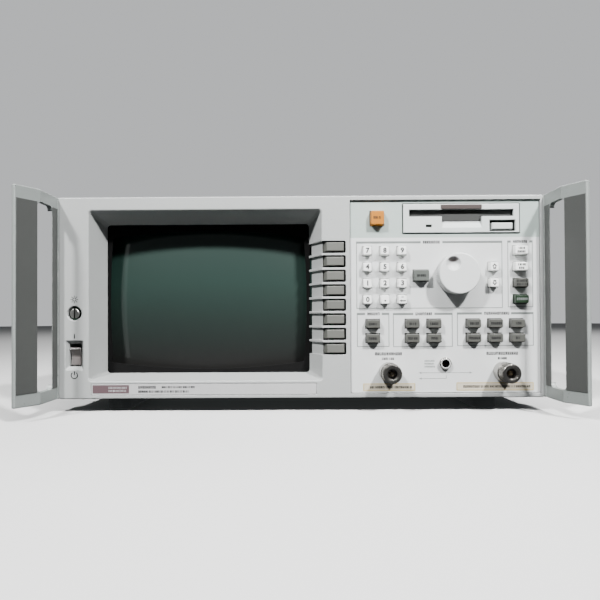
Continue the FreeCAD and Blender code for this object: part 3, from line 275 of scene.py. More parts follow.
PAINT_EDGE = (0.80, 0.81, 0.80)
FINISHES = {
    "frame_paint": dict(colour=(0.33, 0.341, 0.336), rough=0.46, tone=0.035, grain=(1300.0, 0.35),
                        spots=0.01, edge=PAINT_EDGE),
    "panel_paint": dict(colour=PANEL_WHITE, rough=0.44, tone=0.03, grain=(1500.0, 0.25),
                        recolour=panel_band),
    "handle_paint": dict(colour=(0.25, 0.272, 0.262), rough=0.42, tone=0.05, grain=(1200.0, 0.3),
                         spots=0.03, edge=(0.60, 0.62, 0.60)),
    "cover_paint": dict(colour=(0.30, 0.318, 0.308), rough=0.52, tone=0.09, grain=(620.0, 0.9),
                        depth=0.00015, spots=0.03, edge=(0.55, 0.56, 0.54)),
    "rear_alodine": dict(colour=(0.60, 0.585, 0.50), rough=0.38, tone=0.06, grain=(700.0, 0.15),
                         metallic=0.75, brushed=(1.0, 1.0, 14.0)),
    "chassis_aluminium": dict(colour=(0.60, 0.60, 0.60), rough=0.40, tone=0.07, grain=(600.0, 0.2),
                              metallic=0.9, brushed=(12.0, 1.0, 12.0)),
    "can_aluminium": dict(colour=(0.65, 0.65, 0.66), rough=0.34, tone=0.06, grain=(600.0, 0.25),
                          metallic=0.9, brushed=(1.0, 16.0, 16.0)),
    "board_laminate": dict(colour=(0.045, 0.18, 0.08), rough=0.40, tone=0.15, grain=(1600.0, 0.3),
                           coat=0.4),
    "nickel": dict(colour=(0.40, 0.385, 0.36), rough=0.24, tone=0.07, grain=(1400.0, 0.06),
                   metallic=1.0, recolour=rear_sockets, edge_radius=0.0003),
    "adjuster_metal": dict(colour=(0.60, 0.60, 0.57), rough=0.32, tone=0.08, grain=(1200.0, 0.2),
                           metallic=1.0, brushed=(1.0, 1.0, 9.0), edge_radius=0.0002,
                           recolour=adjuster_slot),
    "screw_steel": dict(colour=(0.45, 0.45, 0.43), rough=0.34, tone=0.08, grain=(900.0, 0.15),
                        metallic=1.0, edge_radius=0.0002),
    "foot_plastic": dict(colour=(0.17, 0.18, 0.18), rough=0.62, tone=0.10, grain=(1000.0, 0.6),
                         depth=0.00004, edge=(0.30, 0.31, 0.31)),
    "fan_plastic": dict(colour=(0.022, 0.022, 0.023), rough=0.48, tone=0.15, grain=(1200.0, 0.4)),
    "drive_plastic": dict(colour=(0.50, 0.53, 0.52), rough=0.50, tone=0.04, grain=(1900.0, 0.5),
                          edge=(0.7, 0.71, 0.7), recolour=drive_inside),
    "flap_plastic": dict(colour=(0.024, 0.025, 0.024), rough=0.50, tone=0.05, grain=(1900.0, 0.5)),
    "knob_plastic": dict(colour=(0.58, 0.595, 0.59), rough=0.42, tone=0.03, grain=(1700.0, 0.3),
                         edge=(0.74, 0.75, 0.74), recolour=finger_dish),
    # the rocker's dark colour paints the shade on its face, and its light edges paint the highlight along
    # its top
    "rocker_plastic": dict(colour=(0.095, 0.084, 0.081), rough=0.36, tone=0.05, grain=(1500.0, 0.2),
                           coat=0.2, edge=(0.80, 0.80, 0.78), edge_radius=0.0009),
    "softkey_plastic": dict(colour=(0.10, 0.102, 0.092), rough=0.45, tone=0.05, grain=(1800.0, 0.35),
                            edge=(0.16, 0.16, 0.145)),
    "key_white": dict(colour=(0.84, 0.85, 0.83), rough=0.42, tone=0.03, grain=(1900.0, 0.3)),
    "key_grey": dict(colour=(0.062, 0.063, 0.056), rough=0.45, tone=0.05, grain=(1900.0, 0.35),
                     edge=(0.10, 0.10, 0.092)),
    "key_dark_grey": dict(colour=(0.080, 0.088, 0.080), rough=0.45, tone=0.05, grain=(1900.0, 0.35),
                          edge=(0.12, 0.13, 0.12)),
    "key_orange": dict(colour=(0.40, 0.14, 0.003), rough=0.42, tone=0.04, grain=(1900.0, 0.3)),
    "key_green": dict(colour=(0.003, 0.017, 0.004), rough=0.42, tone=0.06, grain=(1900.0, 0.3)),
    "tube_glass": dict(colour=PHOSPHOR, rough=0.55, tone=0.03, grain=(2500.0, 0.02), coat=1.0,
                       coat_rough=0.04, recolour=phosphor, specular=0.2),
    "handle_trim": dict(colour=(0.060, 0.063, 0.060), rough=0.50, tone=0.06, grain=(1500.0, 0.4),
                        edge=(0.10, 0.11, 0.10)),
    "mask_black": dict(colour=(0.004, 0.004, 0.004), specular=0.08, rough=0.70, tone=0.15,
                       grain=(1500.0, 0.3)),
    "ink_grey": dict(colour=(0.15, 0.165, 0.158), rough=0.50, tone=0.07, grain=(2500.0, 0.2)),
    "ink_light": dict(colour=(0.24, 0.26, 0.25), rough=0.50, tone=0.07, grain=(2500.0, 0.2)),
    "ink_dark": dict(colour=(0.006, 0.006, 0.0065), rough=0.50, tone=0.10, grain=(2500.0, 0.2)),
    "label_yellow": dict(colour=(0.50, 0.455, 0.36), rough=0.50, tone=0.05, grain=(2000.0, 0.2)),
    "ink_white": dict(colour=(0.75, 0.77, 0.75), rough=0.50, tone=0.05, grain=(2500.0, 0.2)),
    "ink_yellow": dict(colour=(0.50, 0.40, 0.20), rough=0.50, tone=0.06, grain=(2500.0, 0.2)),
    "plate_mauve": dict(colour=(0.10, 0.065, 0.072), rough=0.45, tone=0.07, grain=(2200.0, 0.25)),
    # colour of the painted shade on the upper slope of the drive's grip
    "grip_painted_shade": dict(colour=(0.036, 0.025, 0.022), rough=0.50, tone=0.06, grain=(1900.0, 0.4)),
    "plate_grey": dict(colour=(0.42, 0.42, 0.42), rough=0.42, tone=0.05, grain=(900.0, 0.15),
                       brushed=(1.0, 1.0, 8.0)),
    # the gold is darkened: it paints the shade on the contacts and pins deep in the jacks
    "gold": dict(colour=(0.12, 0.085, 0.035), rough=0.22, tone=0.05, grain=(1500.0, 0.1), metallic=1.0),
    "insulator": dict(colour=(0.03, 0.028, 0.025), rough=0.45, tone=0.05, grain=(1500.0, 0.2)),
    "lens_dark": dict(colour=(0.01, 0.012, 0.01), rough=0.20, tone=0.10, grain=(1500.0, 0.05),
                      coat=0.8),
    "label_silver": dict(colour=(0.62, 0.62, 0.60), rough=0.35, tone=0.05, grain=(1100.0, 0.1),
                         metallic=0.3),
}
finishes = {name: finish(name, **values) for name, values in FINISHES.items()}

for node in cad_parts.values():
    for holder in node.material_slots:
        holder.material = finishes[holder.material.name.split(".")[0]]


# ---- mesh helpers

def piece(name, mesh, material, body="root"):
    """Turns a bmesh drawn in the row frame into a named piece that rides on a body."""
    bmesh.ops.recalc_face_normals(mesh, faces=mesh.faces)
    data = bpy.data.meshes.new(name)
    mesh.to_mesh(data)
    mesh.free()
    made = bpy.data.objects.new(name, data)
    bpy.context.scene.collection.objects.link(made)
    data.materials.append(finishes[material])
    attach(made, body)
    return made


def soften(made, width, segments=2):
    """Rounds a piece's sharp edges."""
    modifier = made.modifiers.new("soften", "BEVEL")
    modifier.width = width * MM
    modifier.segments = segments
    modifier.limit_method = "ANGLE"
    return made


def prism(mesh, outline, d0, d1):
    """A closed outline of (x, z) points, from depth d0 to d1."""
    front = [mesh.verts.new(at(x, d0, z)) for x, z in outline]
    back = [mesh.verts.new(at(x, d1, z)) for x, z in outline]
    mesh.faces.new(front)
    mesh.faces.new(back[::-1])
    for i in range(len(outline)):
        j = (i + 1) % len(outline)
        mesh.faces.new((front[j], front[i], back[i], back[j]))


def slab(mesh, x0, x1, z0, z1, d0, d1):
    prism(mesh, ((x0, z0), (x1, z0), (x1, z1), (x0, z1)), d0, d1)


def band(mesh, outer, inner, d0, d1):
    """A closed band between two outlines with the same number of points."""
    front_outer, front_inner, back_outer, back_inner = (
        [mesh.verts.new(at(x, d, z)) for x, z in outline] for d in (d0, d1) for outline in (outer, inner))
    for i in range(len(outer)):
        j = (i + 1) % len(outer)
        mesh.faces.new((front_outer[i], front_outer[j], front_inner[j], front_inner[i]))
        mesh.faces.new((back_outer[j], back_outer[i], back_inner[i], back_inner[j]))
        mesh.faces.new((front_outer[j], front_outer[i], back_outer[i], back_outer[j]))
        mesh.faces.new((front_inner[i], front_inner[j], back_inner[j], back_inner[i]))


def rounded(x0, x1, z0, z1, radius, steps=5):
    """Outline of a rectangle with rounded corners."""
    points = []
    corners = ((x1 - radius, z1 - radius, 0), (x0 + radius, z1 - radius, 90),
               (x0 + radius, z0 + radius, 180), (x1 - radius, z0 + radius, 270))
    for cx, cz, start in corners:
        for i in range(steps + 1):
            angle = math.radians(start + 90 * i / steps)
            points.append((cx + radius * math.cos(angle), cz + radius * math.sin(angle)))
    return points


def outline_band(mesh, x0, x1, z0, z1, width, d0, d1, radius=1.0):
    """A line of that width round a rectangle with rounded corners."""
    outer = rounded(x0, x1, z0, z1, radius)
    inner = rounded(x0 + width, x1 - width, z0 + width, z1 - width, max(radius - width, 0.05))
    band(mesh, outer, inner, d0, d1)


def circle(cx, cz, radius, count=32, start=0.0, sweep=360.0):
    closed = 0 if sweep >= 360 else 1
    angles = [math.radians(start + sweep * i / (count - closed)) for i in range(count)]
    return [(cx + radius * math.cos(a), cz + radius * math.sin(a)) for a in angles]


def turned(mesh, cx, cz, profile, count=48):
    """A closed profile of (radius, d) points turned about the line through (cx, cz)."""
    rings = []
    for i in range(count):
        angle = 2 * math.pi * i / count
        c, s = math.cos(angle), math.sin(angle)
        rings.append([mesh.verts.new(at(cx + r * c, d, cz + r * s)) for r, d in profile])
    for i in range(count):
        a, b = rings[i], rings[(i + 1) % count]
        for k in range(len(profile)):
            m = (k + 1) % len(profile)
            mesh.faces.new((a[k], a[m], b[m], b[k]))


def smooth(made):
    for polygon in made.data.polygons:
        polygon.use_smooth = True
    made.data.set_sharp_from_angle(angle=math.radians(35))
    return made


INK = 0.06          # how far a print stands proud, in mm
EMBED = 0.02        # and how far it reaches into the surface
BOLD = 0.24         # how much thicker a digit's strokes are than the font's, on each side


def glyph(name, text, size, x, z, d, material, body):
    """Digits as a thin mesh on a face at depth d, centred on (x, z)."""
    curve = bpy.data.curves.new(name, "FONT")
    curve.body = text
    curve.size = size * MM
    curve.extrude = INK / 2 * MM
    curve.offset = BOLD * MM
    curve.resolution_u = 6
    curve.align_x = "CENTER"
    curve.align_y = "CENTER"
    holder = bpy.data.objects.new(name, curve)
    bpy.context.scene.collection.objects.link(holder)
    bpy.context.view_layer.update()
    data = bpy.data.meshes.new_from_object(holder)
    bpy.data.objects.remove(holder)
    data.transform(Matrix.Translation(at(x, d - INK / 2, z)) @ Matrix.Rotation(math.pi / 2, 4, "X"))
    data.materials.clear()
    data.materials.append(finishes[material])
    made = bpy.data.objects.new(name, data)
    bpy.context.scene.collection.objects.link(made)
    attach(made, body)
    return made


STROKE = 0.56                   # width of a greeked letter's strokes, in mm
LETTER_WIDTHS = (0.45, 0.7)     # shares of a letter's height
LETTER_GAP = 0.16


def word(mesh, chance, x0, x1, z, height, d, stroke=STROKE):
    """A greeked word: a row of letter-like marks from x0 to x1, which spell nothing."""
    x = x0
    low, high = z - height / 2, z + height / 2
    while x + LETTER_WIDTHS[0] * height < x1:
        width = height * chance.uniform(*LETTER_WIDTHS)
        right = min(x + width, x1)
        slab(mesh, x, x + stroke, low, high, d - INK, d)
        if right - x > 2 * stroke:
            slab(mesh, right - stroke, right, low, high, d - INK, d)
            middle = chance.choice((low, high - stroke, z - stroke / 2))
            slab(mesh, x + stroke, right - stroke, middle, middle + stroke, d - INK, d)
        x = right + LETTER_GAP * height


# ---- display

THROAT = (-177.6, 7.7, 20.4, 156.2)     # x0, x1, z0, z1 of the display opening where the tube begins
MASK_D = (24.3, 25.4)
MASK_TOP_SAG = 6.5          # the opening's edges bow outwards, towards the middle of each side
MASK_SIDE_SAG = 2.5


def barrel(x0, x1, z0, z1, sag_x, sag_z, steps=24):
    """A rectangle whose sides bow outwards to the given lines at their middles."""
    points = []
    for i in range(steps):
        t = i / steps
        points.append((x0 + (x1 - x0) * t, z0 + sag_z * (2 * t - 1) ** 2))
    for i in range(steps):
        t = i / steps
        points.append((x1 - sag_x * (2 * t - 1) ** 2, z0 + sag_z + (z1 - z0 - 2 * sag_z) * t))
    for i in range(steps):
        t = i / steps
        points.append((x1 - (x1 - x0) * t, z1 - sag_z * (2 * t - 1) ** 2))
    for i in range(steps):
        t = i / steps
        points.append((x0 + sag_x * (2 * t - 1) ** 2, z1 - sag_z - (z1 - z0 - 2 * sag_z) * t))
    return points


def display_mask():
    mesh = bmesh.new()
    x0, x1, z0, z1 = THROAT
    outer = barrel(x0 - 0.8, x1 + 0.8, z0 - 0.8, z1 + 0.8, 0.0, 0.0)
    inner = barrel(x0 + 2.5, x1 - 2.5, z0 + 3.5, z1 - 5.6, MASK_SIDE_SAG, MASK_TOP_SAG)
    band(mesh, outer, inner, *MASK_D)
    return piece("display_mask", mesh, "mask_black")


display_mask()


# ---- handle trims

HANDLE_INNER_X = WIDTH / 2 + 1.0
HANDLE_BEND_D = -31.5
HANDLE_TIP_D = (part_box("front_handles")[0].y - FACE_Y) / MM
HANDLE_FLARE = math.radians(28.0)
HANDLE_ARM = 10.0
TRIM_THICKNESS = 0.5


def trim_plate(mesh, side, start, end):
    """A strip on the handle's inner face, from plan point start to end, each (x, d)."""
    (x0, d0), (x1, d1) = start, end
    length = math.hypot(x1 - x0, d1 - d0)
    nx, nd = (d1 - d0) / length, -(x1 - x0) / length
    low, high = HANDLE_ARM + 0.4, HEIGHT - HANDLE_ARM - 0.4
    near, far = [], []
    for x, d in (start, end):
        for z in (low, high):
            near.append(mesh.verts.new(at(side * x, d, z)))
            far.append(mesh.verts.new(at(side * (x + nx * TRIM_THICKNESS), d + nd * TRIM_THICKNESS, z)))
    for a in (near, far):
        mesh.faces.new((a[0], a[1], a[3], a[2]))
    for i, j in ((0, 1), (1, 3), (3, 2), (2, 0)):
        mesh.faces.new((near[i], near[j], far[j], far[i]))


def handle_trims():
    reach = (HANDLE_BEND_D - HANDLE_TIP_D) / math.cos(HANDLE_FLARE)
    for side, name in ((-1, "left"), (1, "right")):
        mesh = bmesh.new()
        points = []
        for along in (3.0, reach - 0.7):
            points.append((HANDLE_INNER_X + along * math.sin(HANDLE_FLARE),
                           HANDLE_BEND_D - along * math.cos(HANDLE_FLARE)))
        trim_plate(mesh, side, *points)
        trim_plate(mesh, side, (HANDLE_INNER_X, -0.5), (HANDLE_INNER_X, -9.8))
        soften(piece(f"handle_trim_{name}", mesh, "handle_trim"), 0.15)


handle_trims()


# ---- prints on the frame's left strip and the nameplate

STRIP_X = -198.5
SUN_Z, ON_Z, STANDBY_Z = 87.2, 55.0, 20.8


def frame_marks():
    mesh = bmesh.new()
    band(mesh, circle(STRIP_X, SUN_Z, 1.75), circle(STRIP_X, SUN_Z, 1.1), -INK, EMBED)
    for i in range(8):
        angle = math.pi * i / 4
        c, s = math.cos(angle), math.sin(angle)
        points = [(2.2, -0.3), (3.4, -0.3), (3.4, 0.3), (2.2, 0.3)]
        prism(mesh, [(STRIP_X + c * u - s * v, SUN_Z + s * u + c * v) for u, v in points], -INK, EMBED)
    slab(mesh, STRIP_X - 0.42, STRIP_X + 0.42, ON_Z - 2.1, ON_Z + 2.1, -INK, EMBED)
    arc_out = circle(STRIP_X, STANDBY_Z, 3.2, 28, 125, 290)
    arc_in = circle(STRIP_X, STANDBY_Z, 2.4, 28, 125, 290)
    prism(mesh, arc_out + arc_in[::-1], -INK, EMBED)
    slab(mesh, STRIP_X - 0.4, STRIP_X + 0.4, STANDBY_Z + 0.2, STANDBY_Z + 3.6, -INK, EMBED)
    return piece("frame_marks", mesh, "ink_dark")


NAMEPLATE = (-184.0, 13.6, 3.1, 13.3)   # x0, x1, z0, z1 of the recess
NAMEPLATE_D = 0.6
PLATE_GAP = 0.35        # round the plate, and how far it stands off the recess


def nameplate():
    x0, x1, z0, z1 = NAMEPLATE
    mesh = bmesh.new()
    gap = PLATE_GAP
    face = NAMEPLATE_D - gap
    prism(mesh, rounded(x0 + gap, x1 - gap, z0 + gap, z1 - gap, 0.4), face, NAMEPLATE_D + EMBED)
    soften(piece("nameplate", mesh, "plate_grey"), 0.1, 1)
    mesh = bmesh.new()
    prism(mesh, rounded(x0 + 1.4, x0 + 33.4, z0 + 1.7, z1 - 1.2, 0.5), face - INK, face + EMBED)
    piece("nameplate_block", mesh, "plate_mauve")
    chance = random.Random(TEXT_SEED)
    mesh = bmesh.new()
    middle = (z0 + z1) / 2
    for a, b, z, height in ((15.5, 32.0, middle + 1.5, 1.7), (15.5, 32.0, middle - 1.2, 1.7)):
        word(mesh, chance, x0 + a, x0 + b, z, height, face - INK)
    piece("nameplate_block_marks", mesh, "plate_grey")
    mesh = bmesh.new()
    for a, b, z, height in ((41.5, 58.0, middle + 1.9, 2.4), (62.0, 92.0, middle + 1.9, 1.8),
                            (41.5, 86.0, middle - 1.9, 2.0)):
        word(mesh, chance, x0 + a, x0 + b, z, height, face)
    piece("nameplate_marks", mesh, "ink_dark")


frame_marks()
nameplate()


# ---- prints on the control panel

GROUPS = {          # x0, x1, z0, z1 of each outline, and the x range of the gap for its label
    "entry": (48.8, 176.9, 77.8, 136.9, 105.5, 124.5),
    "system": (181.3, 203.5, 78.5, 137.0, 184.3, 200.6),
    "measure": (49.1, 77.5, 44.4, 74.2, 56.3, 71.0),
    "source": (80.7, 132.9, 44.1, 74.0, 98.5, 117.0),
    "configure": (136.7, 203.6, 44.7, 74.2, 158.5, 184.0),
}
LINE = 0.75
HEAD_LINE = 1.9


def panel_groups():
    thin, thick, words = bmesh.new(), bmesh.new(), bmesh.new()
    chance = random.Random(TEXT_SEED + 1)
    d = PANEL_D
    for x0, x1, z0, z1, gap0, gap1 in GROUPS.values():
        slab(thin, x0, x0 + LINE, z0, z1 - HEAD_LINE, d - INK, d + EMBED)
        slab(thin, x1 - LINE, x1, z0, z1 - HEAD_LINE, d - INK, d + EMBED)
        slab(thin, x0 + LINE, x1 - LINE, z0, z0 + LINE, d - INK, d + EMBED)
        slab(thick, x0, gap0, z1 - HEAD_LINE, z1, d - INK, d + EMBED)
        slab(thick, gap1, x1, z1 - HEAD_LINE, z1, d - INK, d + EMBED)
        word(words, chance, gap0 + 2.0, gap1 - 1.6, z1 - HEAD_LINE / 2, 2.5, d)
    piece("panel_group_lines", thin, "ink_light")
    piece("panel_group_heads", thick, "ink_grey")
    piece("panel_group_words", words, "ink_dark")


PORT_WORDS = ((76.6, 23.5, 11.5), (176.5, 28.5, 8.5))        # x, then the widths of the two words
PROBE_LINES = ((103.6, 148.9, 21.5), (103.8, 127.1, 16.5))    # x range and z
LABELS = ((54.2, 99.9, 5.6, 12.4), (135.7, 203.2, 5.7, 13.0))   # x0, x1, z0, z1


def panel_port_marks():
    words, lines, boxes = bmesh.new(), bmesh.new(), bmesh.new()
    chance = random.Random(TEXT_SEED + 2)
    d = PANEL_D
    for x, wide, narrow in PORT_WORDS:
        word(words, chance, x - wide / 2, x + wide / 2, 38.2, 2.7, d, 0.62)
        word(words, chance, x - narrow / 2, x + narrow / 2, 33.9, 2.1, d)
    piece("panel_port_words", words, "ink_dark")
    for x0, x1, z in PROBE_LINES:
        slab(lines, x0, x1, z - 0.22, z + 0.22, d - INK, d + EMBED)
        prism(lines, ((x0 - 0.8, z), (x0 + 1.6, z - 0.9), (x0 + 1.6, z + 0.9)), d - INK * 1.2, d + EMBED)
    prism(lines, ((149.7, 21.5), (147.3, 22.4), (147.3, 20.6)), d - INK * 1.2, d + EMBED)
    slab(lines, 126.7, 127.15, 16.5, 19.2, d - INK, d + EMBED)
    for i in range(3):
        word(lines, chance, 108.0, 117.0, 31.9 - 2.5 * i, 1.5, d, 0.32)
    piece("panel_probe_marks", lines, "ink_light")
    rows, plates = bmesh.new(), bmesh.new()
    for x0, x1, z0, z1 in LABELS:
        outline_band(boxes, x0, x1, z0, z1, 0.8, d - INK, d + EMBED, 0.8)
        prism(plates, rounded(x0 + 0.8, x1 - 0.8, z0 + 0.8, z1 - 0.8, 0.2), d - INK / 2, d + EMBED)
        word(rows, chance, x0 + 6.0, x1 - 2.5, (z0 + z1) / 2, 2.2, d)
    piece("panel_label_plates", plates, "label_yellow")
    piece("panel_label_boxes", boxes, "ink_yellow")
    piece("panel_label_rows", rows, "ink_dark")


panel_groups()
panel_port_marks()


# ---- key legends, each riding on its key

DIGITS = {**{f"key_{i}": str(i) for i in range(10)}, "key_point": "."}
ONE_ROW = {
    "key_begin": 7.4, "key_enter": 8.4, "key_preset": 9.6, "key_channel_1": 8.0, "key_channel_2": 8.4,
    "key_frequency": 6.4, "key_sweep": 8.6, "key_power": 8.6, "key_menu": 7.0, "key_scale": 7.8,
    "key_display": 9.6, "key_calibrate": 4.6, "key_marker": 9.6, "key_format": 9.2, "key_average": 5.0,
}
TWO_ROWS = {"key_save": (5.6, 7.8), "key_copy": (6.8, 5.4), "key_options": (9.4, 9.6)}


DIGIT_SIZE, POINT_SIZE, POINT_LIFT = 5.9, 9.0, 1.2
ROW_HEIGHT, SMALL_ROW_HEIGHT, ROW_OFFSET = 2.2, 2.0, 1.5
ARROW_EMBED = 0.01


def legends():
    chance = random.Random(TEXT_SEED + 3)
    for node, text in DIGITS.items():
        x, d, z = face_of(node)
        size = POINT_SIZE if text == "." else DIGIT_SIZE
        lift = POINT_LIFT if text == "." else 0.0
        glyph(f"{node}_legend", text, size, x, z + lift, d, "ink_dark", node)
    for node, width in ONE_ROW.items():
        x, d, z = face_of(node)
        mesh = bmesh.new()
        word(mesh, chance, x - width / 2, x + width / 2, z, ROW_HEIGHT, d)
        ink = "ink_grey" if node == "key_preset" else "ink_dark"
        piece(f"{node}_legend", mesh, ink, node)
    for node, widths in TWO_ROWS.items():
        x, d, z = face_of(node)
        mesh = bmesh.new()
        for width, offset in zip(widths, (ROW_OFFSET, -ROW_OFFSET)):
            word(mesh, chance, x - width / 2, x + width / 2, z + offset, SMALL_ROW_HEIGHT, d)
        piece(f"{node}_legend", mesh, "ink_dark", node)


def arrow_outline(x, z, size, way):
    """A stubby arrow pointing up or down."""
    half, neck = size / 2, size * 0.27
    foot = ((-neck, -half), (neck, -half), (neck, 0.0))
    head = ((half, 0.0), (0.0, half * 1.1), (-half, 0.0), (-neck, 0.0))
    return [(x + u, z + way * v) for u, v in foot + head]


def arrow_legends():
    for node, way in (("key_up", 1), ("key_down", -1)):
        x, d, z = face_of(node)
        mesh = bmesh.new()
        outer = arrow_outline(x, z, 4.5, way)
        inner = arrow_outline(x, z - way * 0.05, 2.0, way)
        band(mesh, outer, inner, d - INK, d + ARROW_EMBED)
        piece(f"{node}_legend", mesh, "ink_dark", node)
    x, d, z = face_of("key_backspace")
    mesh = bmesh.new()
    prism(mesh, ((x - 2.9, z - 1.1), (x - 0.9, z - 2.2), (x - 0.9, z)), d - INK, d + ARROW_EMBED)
    slab(mesh, x - 0.9, x + 2.7, z - 1.6, z - 0.6, d - INK, d + ARROW_EMBED)
    slab(mesh, x - 1.1, x + 0.9, z + 1.8, z + 2.5, d - INK, d + ARROW_EMBED)
    piece("key_backspace_legend", mesh, "ink_dark", "key_backspace")


legends()
arrow_legends()


# ---- jacks, the drive's painted gap and grip shade, and its lamp

PORTS = ((76.8, 22.4), (176.5, 22.4))
NOSE_D = (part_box("connectors")[0].y - FACE_Y) / MM
THREAD_R = 7.94
INSULATOR = ((1.75, 8.6), (4.1, 8.6), (4.1, 9.7), (1.75, 9.7))      # radius and depth behind the nose
CONTACT = ((0.9, 2.9), (1.5, 2.9), (1.7, 3.3), (1.7, 8.6), (1.61, 8.6), (1.61, 3.1), (0.9, 3.1))


def port_details():
    threads, insulators, contacts = bmesh.new(), bmesh.new(), bmesh.new()
    ridge, pitch, count = 0.32, 1.06, 8
    for x, z in PORTS:
        start = NOSE_D + 0.9
        profile = []
        for i in range(count):
            profile += [(THREAD_R + 0.02, start + pitch * i), (THREAD_R + ridge, start + pitch * (i + 0.5))]
        profile += [(THREAD_R + 0.02, start + pitch * count), (THREAD_R - 0.3, start + pitch * count),
                    (THREAD_R - 0.3, start)]
        turned(threads, x, z, profile)
        turned(insulators, x, z, [(r, NOSE_D + depth) for r, depth in INSULATOR])
        turned(contacts, x, z, [(r, NOSE_D + depth) for r, depth in CONTACT], 24)
    smooth(piece("port_threads", threads, "nickel"))
    smooth(piece("port_insulators", insulators, "insulator"))
    smooth(piece("port_contacts", contacts, "gold"))


PROBE = (125.9, 29.7)
PROBE_INSERT = [(0.01, 4.0), (3.35, 4.0), (3.35, 3.0), (2.9, 3.0), (2.9, 3.6), (0.01, 3.6)]     # radius, d
PROBE_RIM = [(3.5, -1.44), (4.4, -1.44), (4.5, -1.36), (3.4, -1.36)]
PROBE_PIN = [(0.01, 0.8), (0.3, 0.8), (0.42, 1.1), (0.42, 3.7), (0.01, 3.7)]
PIN_CIRCLE = 1.7            # radius on which the three pins stand


def probe_details():
    x, z = PROBE
    mesh = bmesh.new()
    turned(mesh, x, z, PROBE_INSERT, 32)
    smooth(piece("probe_jack_insert", mesh, "mask_black"))
    mesh = bmesh.new()
    turned(mesh, x, z, PROBE_RIM)
    smooth(piece("probe_jack_rim", mesh, "label_silver"))
    mesh = bmesh.new()
    for i in range(3):
        angle = math.radians(90 + 120 * i)
        pin_x, pin_z = x + PIN_CIRCLE * math.cos(angle), z + PIN_CIRCLE * math.sin(angle)
        turned(mesh, pin_x, pin_z, PROBE_PIN, 12)
    smooth(piece("probe_jack_pins", mesh, "gold"))


DRIVE_LOW, DRIVE_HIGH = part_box("disk_drive")
# width of the black band that paints the shade in the gap round the drive's bezel
DRIVE_GAP_SHADE_WIDTH = 0.8
NOTCH_HALF = 18.0           # half the width of the painted shade on the grip
NOTCH_Z = (164.9, 168.7)


def drive_trim():
    """A black band that paints the shade in the gap round the drive's bezel, and a brown patch that paints
    the shade on the grip's upper slope above the slot.
    """
    x0, x1 = DRIVE_LOW.x / MM, DRIVE_HIGH.x / MM
    z0, z1 = (DRIVE_LOW.z - BASE_Z) / MM, (DRIVE_HIGH.z - BASE_Z) / MM
    mesh = bmesh.new()
    outer = rounded(x0 - DRIVE_GAP_SHADE_WIDTH, x1 + DRIVE_GAP_SHADE_WIDTH, z0 - DRIVE_GAP_SHADE_WIDTH, z1 + DRIVE_GAP_SHADE_WIDTH, 1.0)
    inner = rounded(x0 + 0.02, x1 - 0.02, z0 + 0.02, z1 - 0.02, 0.4)
    band(mesh, outer, inner, PANEL_D - 0.3, PANEL_D + 0.02)
    piece("drive_gap_shade", mesh, "mask_black")
    middle_x = (x0 + x1) / 2
    face = (DRIVE_LOW.y - FACE_Y) / MM
    mesh = bmesh.new()
    outline = rounded(middle_x - NOTCH_HALF, middle_x + NOTCH_HALF, *NOTCH_Z, 0.4)
    prism(mesh, outline, face - INK, face + EMBED)
    piece("painted_grip_shade", mesh, "grip_painted_shade")


LAMP = (110.0, 115.0, 148.9, 151.1)
LAMP_D = (0.55, 1.3)


def drive_lamp():
    mesh = bmesh.new()
    prism(mesh, rounded(*LAMP, 0.35), *LAMP_D)
    soften(piece("drive_lamp", mesh, "lens_dark"), 0.15)


port_details()
probe_details()
drive_trim()
drive_lamp()


# ---- the back

RATING_PLATE = (-150.0, -92.0, 17.0, 34.0)
RATING_ROWS = (-104.0, -98.0, -110.0, -101.0)       # where each row of marks ends
RATING_TOP, RATING_PITCH = 30.6, 3.4
REAR_JACKS = [(x, z) for z in (130.0, 98.0) for x in (104.0, 134.0, 164.0)]
REAR_SOCKETS = [(38.0, z) for z in (128.0, 98.0, 64.0)]


def rear_details():
    chance = random.Random(TEXT_SEED + 4)
    mesh = bmesh.new()
    prism(mesh, rounded(*RATING_PLATE, 1.0), REAR_D - 0.02, REAR_D + 0.15)
    piece("rear_rating_plate", mesh, "label_silver")
    words = bmesh.new()
    for i, right in enumerate(RATING_ROWS):
        z = RATING_TOP - RATING_PITCH * i
        rear_word(words, chance, RATING_PLATE[0] + 3.0, right, z, 1.6, REAR_D + 0.15)
    for x, z in REAR_JACKS:
        rear_word(words, chance, x - 7.0, x + 7.0, z + 10.5, 2.0, REAR_D)
    for x, z in REAR_SOCKETS:
        rear_word(words, chance, x - 12.0, x + 12.0, z + 10.0, 2.0, REAR_D)
    piece("rear_words", words, "ink_dark")


def rear_word(mesh, chance, x0, x1, z, height, d):
    """The same letter-like marks, facing backwards."""
    word(mesh, chance, x0, x1, z, height, d + INK)


rear_details()


# ---- studio

STAGE_R = 6.0
BACKDROP_GLOW = 0.62
WORLD_GLOW = 0.10


